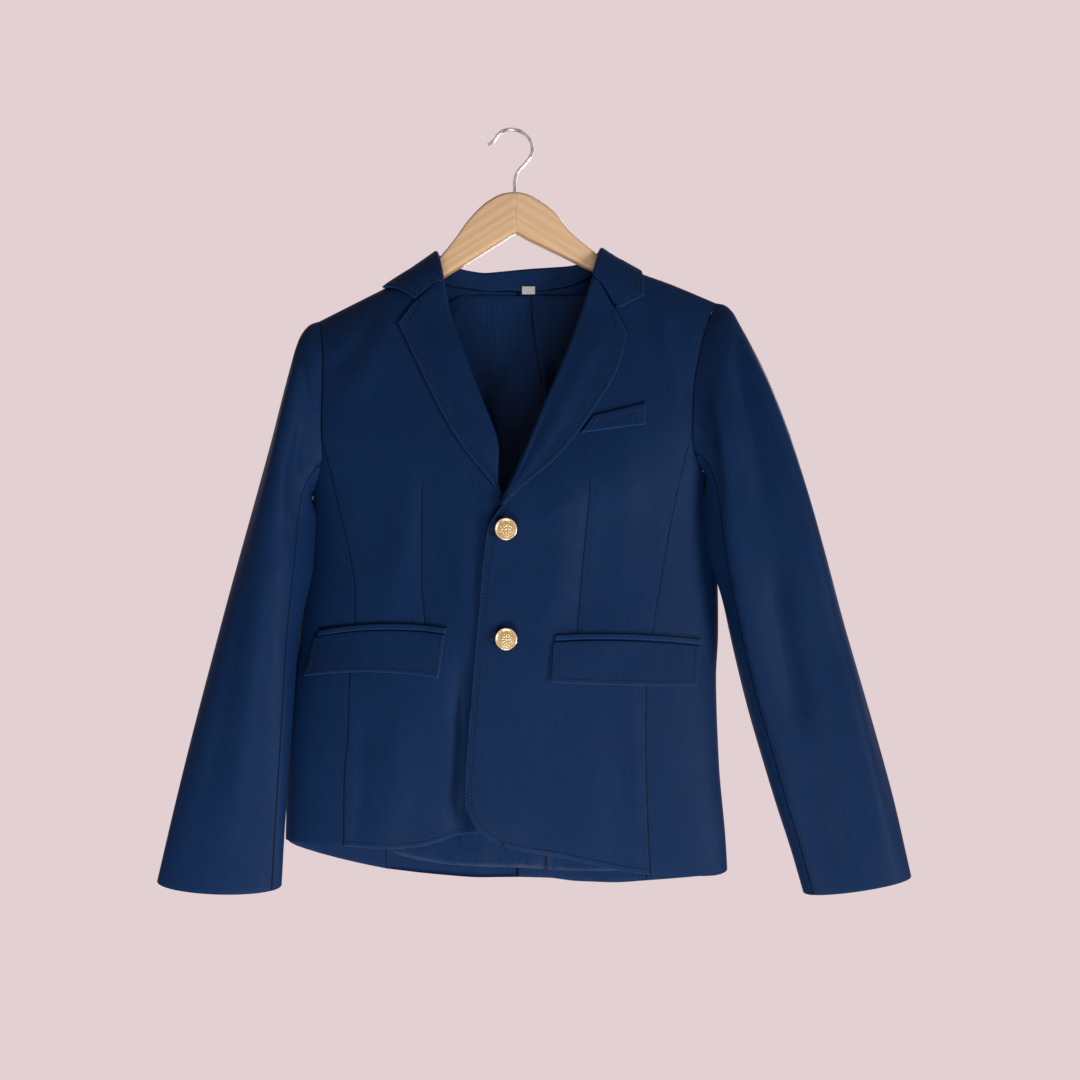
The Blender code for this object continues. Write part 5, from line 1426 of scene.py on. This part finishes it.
def button(name, x, z):
    """A stamped metal button: turned cap, beaded ring and a plain rosette on its face."""
    wide = bpy.context.scene.blazer_sizes.button_width / MM / BUTTON_WIDTH
    mesh = bmesh.new()
    raised = mesh.verts.layers.float.new("raised")
    verts = [mesh.verts.new((radius, 0.0, height)) for radius, height in BUTTON_PROFILE]
    edges = [mesh.edges.new(pair) for pair in zip(verts, verts[1:])]
    bmesh.ops.spin(mesh, geom=verts + edges, cent=(0, 0, 0), axis=(0, 0, 1),
                   angle=math.tau, steps=72, use_merge=True)
    bmesh.ops.remove_doubles(mesh, verts=mesh.verts[:], dist=0.001)
    bmesh.ops.recalc_face_normals(mesh, faces=mesh.faces[:])
    for vert in mesh.verts:
        vert[raised] = 0.9 if vert.co.xy.length > 8.3 else 0.25
    # a ring of beads, eight petals, and a boss in the middle
    for n in range(40):
        angle = math.tau * n / 40
        made = bmesh.ops.create_icosphere(mesh, subdivisions=1, radius=0.34)
        bmesh.ops.translate(mesh, vec=(6.9 * math.cos(angle), 6.9 * math.sin(angle), 3.35),
                            verts=made["verts"])
        for vert in made["verts"]:
            vert[raised] = 0.8
    for n in range(8):
        angle = math.tau * n / 8
        for reach, length, breadth, tall in ((3.3, 3.1, 1.5, 0.9), (5.0, 1.5, 0.9, 0.7)):
            turn_by = angle + (math.tau / 16 if reach > 4 else 0.0)
            made = bmesh.ops.create_uvsphere(mesh, u_segments=12, v_segments=8, radius=0.5)
            bmesh.ops.scale(mesh, vec=(length, breadth, tall), verts=made["verts"])
            bmesh.ops.translate(mesh, vec=(reach, 0.0, 3.72), verts=made["verts"])
            spun = Vector((math.cos(turn_by), math.sin(turn_by), 0)).to_track_quat("X", "Z")
            bmesh.ops.transform(mesh, matrix=spun.to_matrix().to_4x4(), verts=made["verts"])
            for vert in made["verts"]:
                vert[raised] = 0.9
    made = bmesh.ops.create_uvsphere(mesh, u_segments=16, v_segments=10, radius=1.15)
    bmesh.ops.scale(mesh, vec=(1.0, 1.0, 0.6), verts=made["verts"])
    bmesh.ops.translate(mesh, vec=(0, 0, 3.9), verts=made["verts"])
    for vert in made["verts"]:
        vert[raised] = 1.0
    bmesh.ops.scale(mesh, vec=(wide, wide, 1.0), verts=mesh.verts[:])
    normal = skin_normal(x, z, "R")
    turned = Vector((0, 0, 1)).rotation_difference(normal).to_matrix().to_4x4()
    bmesh.ops.transform(mesh, matrix=turned, verts=mesh.verts[:])
    bmesh.ops.translate(mesh, vec=place(x, z, "R", 2.2 + 0.35), verts=mesh.verts[:])
    return finish(name, mesh, (plated_brass,), outward=False)


def buttonhole(name, x, z):
    """The worked edge of a buttonhole, which shows beside the button nearer the front's edge."""
    mesh = bmesh.new()
    rounds = []
    half, reach = 1.0, 12.0
    for n in range(72):
        share = n / 72 * math.tau
        px = x - 2.0 + reach * math.cos(share)
        pz = z + half * math.copysign(min(1.0, abs(math.sin(share)) * 2.6), math.sin(share))
        rounds.append(place(px, pz, "R", 0.25))
    for n, point in enumerate(rounds):
        ahead = rounds[(n + 1) % 72] - point
        made = bmesh.ops.create_uvsphere(mesh, u_segments=6, v_segments=4, radius=0.5)
        bmesh.ops.scale(mesh, vec=(0.75, 1.3, 0.9), verts=made["verts"])
        turned = ahead.to_track_quat("X", "Y").to_matrix().to_4x4()
        bmesh.ops.transform(mesh, matrix=turned, verts=made["verts"])
        bmesh.ops.translate(mesh, vec=point, verts=made["verts"])
    return finish(name, mesh, (spun_thread,), outward=False)


def hanger_half(name, side, wood):
    """One arm of the hanger, from the joint in the middle to its rounded end."""
    mesh = bmesh.new()
    under = mesh.verts.layers.float.new("under")
    half_thick = bpy.context.scene.blazer_sizes.hanger_thickness / MM / 2
    sign = 1.0 if side == "left" else -1.0
    start = HANGER_JOINT + HANGER_GAP * sign
    end = HANGER_END * sign
    count = 64
    loops = []
    for number in range(count + 1):
        x = start + (end - start) * number / count
        top, low = curve(HANGER, x, 1), curve(HANGER, x, 2)
        half = half_thick
        # the last 5 mm are rounded over
        close = abs(end - x)
        if close < 5.0:
            pull = 1.0 - math.sqrt(max(0.0, 1.0 - (1.0 - close / 5.0) ** 2))
            half, top, low = half - 2.2 * pull, top - 3.0 * pull, low + 3.0 * pull
        crown = min(half, 4.0)
        profile = [(half, low + 2.0)]
        profile += [(half, low + 2.0 + (top - crown - low - 2.0) * k / 6) for k in range(1, 6)]
        for step in range(13):
            angle = math.radians(15.0 * step)
            c, s = math.cos(angle), math.sin(angle)
            profile.append((math.copysign(abs(c) ** 0.7, c) * half, top - crown + crown * s))
        profile += [(-half, top - crown - (top - crown - low - 2.0) * k / 6) for k in range(1, 6)]
        profile += [(-half, low + 2.0), (-half + 0.6, low + 0.6), (-half + 2.0, low),
                    (half - 2.0, low), (half - 0.6, low + 0.6)]
        loop = [mesh.verts.new((x, y + HANGER_Y, z)) for y, z in profile]
        # the underside is marked here for the painted shade on it
        for vert, (_, z) in zip(loop, profile):
            vert[under] = 1.0 - smooth(low + 0.4, low + 2.2, z)
        loops.append(loop)
    edges = []
    for loop in loops:
        ring = [mesh.edges.new((loop[i], loop[(i + 1) % len(loop)])) for i in range(len(loop))]
        edges.append(ring)
    for a, b in zip(edges, edges[1:]):
        bmesh.ops.bridge_loops(mesh, edges=a + b)
    bmesh.ops.contextual_create(mesh, geom=edges[0])
    bmesh.ops.contextual_create(mesh, geom=edges[-1])
    flat = mesh.loops.layers.uv.new("grain")
    # the grain runs down along the arm
    for face in mesh.faces:
        for loop in face.loops:
            x, y, z = loop.vert.co
            across = z + 0.62 * abs(x) + y * 0.7
            loop[flat].uv = (x * MM * 1.2, across * MM)
    made = finish(name, mesh, (wood,))
    return bevelled(made, 0.5, angle=50.0)


def hook(name):
    """Bent wire: a smooth curve with a round section and slightly rounded ends."""
    data = bpy.data.curves.new(name + "_path", "CURVE")
    data.dimensions = "3D"
    line = data.splines.new("BEZIER")
    line.bezier_points.add(len(HOOK) - 1)
    for point, (x, z) in zip(line.bezier_points, HOOK):
        point.co = (x * MM, 0.0, z * MM)
        point.handle_left_type = "AUTO"
        point.handle_right_type = "AUTO"
    data.resolution_u = 12
    data.bevel_depth = bpy.context.scene.blazer_sizes.wire_width / 2
    data.bevel_resolution = 5
    data.use_fill_caps = True
    guide = bpy.data.objects.new(name + "_path", data)
    bpy.context.scene.collection.objects.link(guide)
    bpy.context.view_layer.update()
    solid = bpy.data.meshes.new_from_object(guide.evaluated_get(
        bpy.context.evaluated_depsgraph_get()))
    bpy.data.objects.remove(guide)
    mesh = bmesh.new()
    mesh.from_mesh(solid)
    bmesh.ops.remove_doubles(mesh, verts=mesh.verts[:], dist=0.000001)
    bmesh.ops.scale(mesh, vec=(1 / MM, 1 / MM, 1 / MM), verts=mesh.verts[:])
    made = finish(name, mesh, (chromed_wire,))
    return bevelled(made, 0.4, angle=60.0)


class BlazerSizes(bpy.types.PropertyGroup):
    """Sizes of the blazer and its hanger."""
    cloth_wall: bpy.props.FloatProperty(
        name="Cloth wall", description="Shell cloth with its interlining and lining",
        default=WALL * MM, min=0.001, max=0.003, unit="LENGTH")
    stitch_inset: bpy.props.FloatProperty(
        name="Stitch inset", description="Distance of the topstitching from the edge",
        default=0.005, min=0.002, max=0.01, unit="LENGTH")
    stitch_pitch: bpy.props.FloatProperty(
        name="Stitch pitch", description="Distance from one stitch to the next",
        default=0.0034, min=0.002, max=0.008, unit="LENGTH")
    thread_width: bpy.props.FloatProperty(
        name="Thread", description="Width of the sewing thread",
        default=0.0006, min=0.0003, max=0.0012, unit="LENGTH")
    button_width: bpy.props.FloatProperty(
        name="Button", description="Width of a front button",
        default=BUTTON_WIDTH * MM, min=0.015, max=0.025, unit="LENGTH")
    hanger_thickness: bpy.props.FloatProperty(
        name="Hanger thickness", description="Thickness of the wooden arms",
        default=2 * HANGER_HALF * MM, min=0.008, max=0.016, unit="LENGTH")
    wire_width: bpy.props.FloatProperty(
        name="Hook wire", description="Width of the hook's wire",
        default=WIRE * MM, min=0.002, max=0.005, unit="LENGTH")


def tint(name, description, hex_colour):
    """A colour that a user can change."""
    return bpy.props.FloatVectorProperty(name=name, description=description, subtype="COLOR",
                                         size=3, min=0.0, max=1.0, default=linear(hex_colour))


class BlazerColours(bpy.types.PropertyGroup):
    """Colours of the blazer, its hanger and the stage."""
    navy: tint("Navy", "Cloth in the light", "#14305a")
    navy_shade: tint("Navy shade", "Darker threads of the cloth", "#0c2649")
    navy_worn: tint("Navy worn", "Cloth rubbed along its edges", "#22467a")
    # painted shade: the deepest navy darkens the seams, the dart, the stitching's dip and the pleat's
    # edge, and is the thread's darker ply
    navy_painted_shade: tint("Navy deep", "Seams and the dip of the stitching", "#060e1e")
    # the thread's navy is set much darker than the cloth, as painted shade of the sunk stitching
    thread: tint("Thread", "Topstitching", "#060f20")
    satin: tint("Satin", "Lining", "#0e294e")
    satin_light: tint("Satin light", "Lighter threads of the lining", "#133059")
    label: tint("Label", "White tape", "#eceae6")
    label_shade: tint("Label shade", "Hollows of the tape's weave", "#c4c2c0")
    gold: tint("Gold", "Raised parts of the buttons", "#efdcae")
    gold_shade: tint("Gold shade", "Hollows of the buttons", "#a98a56")
    wood: tint("Wood", "Right-hand arm of the hanger", "#fdd8ac")
    wood_grain: tint("Wood grain", "Grain of that arm", "#f5c896")
    wood_dark: tint("Wood, other arm", "Left-hand arm of the hanger", "#f8d2a6")
    wood_dark_grain: tint("Grain, other arm", "Grain of that arm", "#ecc08e")
    # painted shade for the underside of the arms
    wood_underside_shade: tint("Wood below", "Underside of the arms", "#a8713c")
    steel: tint("Steel", "Chromed wire", "#c9c7c4")
    floor: tint("Floor", "Pale floor", "#dcd3d0")
    room: tint("Room", "Pale surroundings", "#f0dcdf")


class BLAZER_OT_fronts(bpy.types.Operator):
    """Build both fronts and side panels, with the stitching of the free edges"""
    bl_idname = "blazer.fronts"
    bl_label = "Fronts and sides"

    def execute(self, context):
        for side, wearer in WORN.items():
            grid = front_grid(side)
            start = next(j for j, line in enumerate(grid) if line[0][0].z < LAPEL_FOOT[side])
            turn_at = int(len(grid[0]) * 0.42)

            def facing_rule(i, j):
                return i > 0.34 and j < 0.95

            points = [[point for point, _ in line] for line in grid]
            border = [line[0] for line in points[start:]] + points[-1][1:]
            made, outer = panel("cloth_front_" + wearer, grid, seams=("last",),
                                edge=border, stitched=1.0 if side == "R" else 0.6, side=side,
                                inner_rule=facing_rule)
            rim = [line[0] for line in outer[start + 3:]] + outer[-1][1:turn_at]
            sewn = stitches("stitches_front_" + wearer, outer, rim, outer[start + 3][6])
            hang(made, "front_" + wearer, outer, [sewn])
            panel_grid = side_grid(side)
            made, outer = panel("cloth_side_" + wearer, panel_grid, seams=("first", "last"),
                                inner_rule=lambda i, j: j < 0.92)
            hang(made, "side_" + wearer, outer)
        return {"FINISHED"}


class BLAZER_OT_backs(bpy.types.Operator):
    """Build both halves of the back"""
    bl_idname = "blazer.backs"
    bl_label = "Back"

    def execute(self, context):
        for side, wearer in WORN.items():
            made, outer = panel("cloth_back_" + wearer, back_grid(side), seams=("first", "last"),
                                inner_rule=lambda i, j: False)
            hang(made, "back_" + wearer, outer)
        return {"FINISHED"}


class BLAZER_OT_sleeves(bpy.types.Operator):
    """Build the top and the under half of each sleeve"""
    bl_idname = "blazer.sleeves"
    bl_label = "Sleeves"

    def execute(self, context):
        for side, wearer in WORN.items():
            ring = armhole(front_grid(side, 2), back_grid(side), side_grid(side))
            sleeve = sleeve_grid(side, ring)
            top = [[line[k % ROUND] for k in range(SEAM_BEHIND, ROUND + SEAM_BEFORE + 1)]
                   for line in sleeve]
            under = [line[SEAM_BEFORE:SEAM_BEHIND + 1] for line in sleeve]
            for part, grid in (("top", top), ("under", under)):
                made, outer = panel(f"cloth_sleeve_{part}_{wearer}", grid,
                                    seams=("first", "last", "top"),
                                    inner_rule=lambda i, j: j < 0.94)
                hang(made, f"sleeve_{part}_{wearer}", outer)
        return {"FINISHED"}


class BLAZER_OT_lapels(bpy.types.Operator):
    """Build both lapels and the collar, with their topstitching"""
    bl_idname = "blazer.lapels"
    bl_label = "Lapels and collar"

    def execute(self, context):
        for side, wearer in WORN.items():
            outer, inner = lapel_grids(side)
            # past the tail and the fold, and half way across the gorge
            first = 1 + BEND_STEPS + 13
            border = outer[0][first:] + [line[-1] for line in outer[1:]]
            made = cloth("cloth_lapel_" + wearer, outer, inner, edge=border, stitched=1.0,
                         inner_rule=lambda i, j: False)
            rim = outer[0][first + 5:] + [line[-1] for line in outer[1:-3]]
            sewn = stitches("stitches_lapel_" + wearer, outer, rim, outer[6][first + 5])
            hang(made, "lapel_" + wearer, outer, [sewn])
        outer, inner = collar_grids()
        # the stitching starts where the fall has its corner
        corner = STAND_STEPS + BEND_STEPS + GAP_STEPS + 11
        border = outer[0][corner:] + [line[-1] for line in outer[1:-1]] + outer[-1][:corner:-1]
        made = cloth("cloth_collar", outer, inner, edge=border, stitched=1.0,
                     inner_rule=lambda i, j: False)
        sewn = stitches("stitches_collar", outer, border, outer[4][corner])
        hang(made, "collar", outer, [sewn])
        return {"FINISHED"}


class BLAZER_OT_pockets(bpy.types.Operator):
    """Build the pocket flaps and the welts, with their topstitching"""
    bl_idname = "blazer.pockets"
    bl_label = "Pockets"

    def execute(self, context):
        for name, row in FLAPS.items():
            outer, inner = patch_grids(name)
            border = ([line[0] for line in outer] + outer[-1][1:]
                      + [line[-1] for line in outer[-2::-1]])
            is_flap = name.startswith("flap")
            made = cloth("cloth_" + name, outer, inner, edge=border,
                         stitched=1.0 if is_flap else 0.0)
            going = []
            if is_flap:
                going = [stitches("stitches_" + name, outer, border, outer[2][8])]
            elif name == "chest_welt":
                going = [stitches("stitches_" + name, outer, outer[0], outer[4][4])]
            if name.startswith("pocket"):
                # a welt only as wide as its fold is a strip, not a sheet
                stand_for(made, name)
                continue
            hang(made, name, outer, going)
        return {"FINISHED"}


class BLAZER_OT_lining(bpy.types.Operator):
    """Build the back's satin lining and the bare label in the neck"""
    bl_idname = "blazer.lining"
    bl_label = "Lining and label"

    def execute(self, context):
        outer, inner = lining_grids()
        made = cloth("satin_lining_back", outer, inner, slot="satin_lining",
                     looks=(polyester_satin,), side="pleat", inner_rule=lambda i, j: False)
        hang(made, "lining_back", outer)
        outer, inner = label_grids()
        made = cloth("neck_tape", outer, inner, slot="white_label", looks=(woven_tape,),
                     inner_rule=lambda i, j: False)
        stand_for(made, "neck_label")
        return {"FINISHED"}


class BLAZER_OT_buttons(bpy.types.Operator):
    """Build the two front buttons and their buttonholes"""
    bl_idname = "blazer.buttons"
    bl_label = "Buttons"

    def execute(self, context):
        for name, (x, z) in BUTTONS.items():
            made = button("metal_" + name, x, z)
            stand_for(made, name)
            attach(buttonhole("hole_" + name, x, z), "root")
        return {"FINISHED"}


class BLAZER_OT_hanger(bpy.types.Operator):
    """Build the wooden arms and the wire hook"""
    bl_idname = "blazer.hanger"
    bl_label = "Hanger"

    def execute(self, context):
        # the arm on the wearer's left is the right-hand one from the front
        for side, wood in (("left", varnished_beech), ("right", varnished_beech_dark)):
            stand_for(hanger_half("wood_arm_" + side, side, wood), "hanger_wood")
        stand_for(hook("wire_hook"), "hanger_hook")
        return {"FINISHED"}


class BLAZER_OT_stage(bpy.types.Operator):
    """Build the pale floor, the soft light and the camera"""
    bl_idname = "blazer.stage"
    bl_label = "Stage"

    def execute(self, context):
        scene = context.scene
        mesh = bmesh.new()
        bmesh.ops.create_circle(mesh, cap_ends=True, segments=96, radius=1.5)
        bmesh.ops.translate(mesh, vec=(0.0, 0.0, -1.62), verts=mesh.verts[:])
        data = bpy.data.meshes.new("floor")
        mesh.to_mesh(data)
        mesh.free()
        data.materials.append(look(painted_floor))
        floor = bpy.data.objects.new("floor", data)
        scene.collection.objects.link(floor)
        world = bpy.data.worlds.new("pale_room")
        world.use_nodes = True
        tree = world.node_tree
        sky = tree.nodes["Background"]
        sky.inputs["Color"].default_value = rgba(scene.blazer_colours.room)
        # pale all round, with most of the light on the cloth left to the lamps
        ray = add(tree, "ShaderNodeLightPath", out="Is Diffuse Ray")
        strength = add(tree, "ShaderNodeMapRange", (ray, 0.0, 1.0, 0.88, 0.12), **EASED)
        tree.links.new(strength, sky.inputs["Strength"])
        scene.world = world
        for name, spot, aim, size, power, colour in (
                ("window", (4.6, -3.6, -2.0), (0.0, 0.0, -0.45), 2.2, 215.0, (1.0, 0.97, 0.95)),
                ("room", (-0.05, -0.9, -1.6), (0.0, 0.0, -0.6), 0.7, 21.5, (0.96, 0.98, 1.0)),
                ("back", (0.6, 2.4, 0.4), (0.0, 0.0, -0.4), 1.8, 50.0, (1.0, 1.0, 1.0))):
            lamp = bpy.data.lights.new(name, "AREA")
            lamp.shape = "DISK"
            lamp.size = size
            lamp.energy = power
            lamp.color = colour
            made = bpy.data.objects.new(name, lamp)
            made.location = spot
            made.rotation_euler = (Vector(aim) - Vector(spot)).to_track_quat("-Z", "Y").to_euler()
            scene.collection.objects.link(made)
        lens = bpy.data.cameras.new("camera")
        lens.sensor_width = 36.0
        lens.lens = 36.0 * 1157.9 / 1080.0
        lens.clip_start, lens.clip_end = 0.05, 20.0
        view = bpy.data.objects.new("camera", lens)
        view.location = (0.0242, -1.1, -0.388)
        view.rotation_euler = (math.pi / 2, 0.0, 0.0)
        scene.collection.objects.link(view)
        scene.camera = view
        scene.view_settings.view_transform = "Standard"
        return {"FINISHED"}


class BLAZER_PT_panel(bpy.types.Panel):
    """Sizes, colours and building steps of the blazer"""
    bl_idname = "BLAZER_PT_panel"
    bl_label = "School blazer"
    bl_space_type = "VIEW_3D"
    bl_region_type = "UI"
    bl_category = "Blazer"

    def draw(self, context):
        for group in (context.scene.blazer_sizes, context.scene.blazer_colours):
            box = self.layout.box()
            for key in group.__annotations__:
                box.prop(group, key)
        for step in STEPS:
            self.layout.operator(step.bl_idname)


STEPS = (BLAZER_OT_fronts, BLAZER_OT_backs, BLAZER_OT_sleeves, BLAZER_OT_lapels,
         BLAZER_OT_pockets, BLAZER_OT_lining, BLAZER_OT_buttons, BLAZER_OT_hanger,
         BLAZER_OT_stage)
CLASSES = (BlazerSizes, BlazerColours) + STEPS + (BLAZER_PT_panel,)


def register():
    for each in CLASSES:
        bpy.utils.register_class(each)
    bpy.types.Scene.blazer_sizes = bpy.props.PointerProperty(type=BlazerSizes)
    bpy.types.Scene.blazer_colours = bpy.props.PointerProperty(type=BlazerColours)


def unregister():
    del bpy.types.Scene.blazer_colours
    del bpy.types.Scene.blazer_sizes
    for each in reversed(CLASSES):
        bpy.utils.unregister_class(each)


def main():
    register()
    blazer = bpy.ops.blazer
    blazer.fronts()
    blazer.backs()
    blazer.sleeves()
    blazer.lapels()
    blazer.pockets()
    blazer.lining()
    blazer.buttons()
    blazer.hanger()
    blazer.stage()
    bpy.context.view_layer.update()


if __name__ == "__main__":
    main()
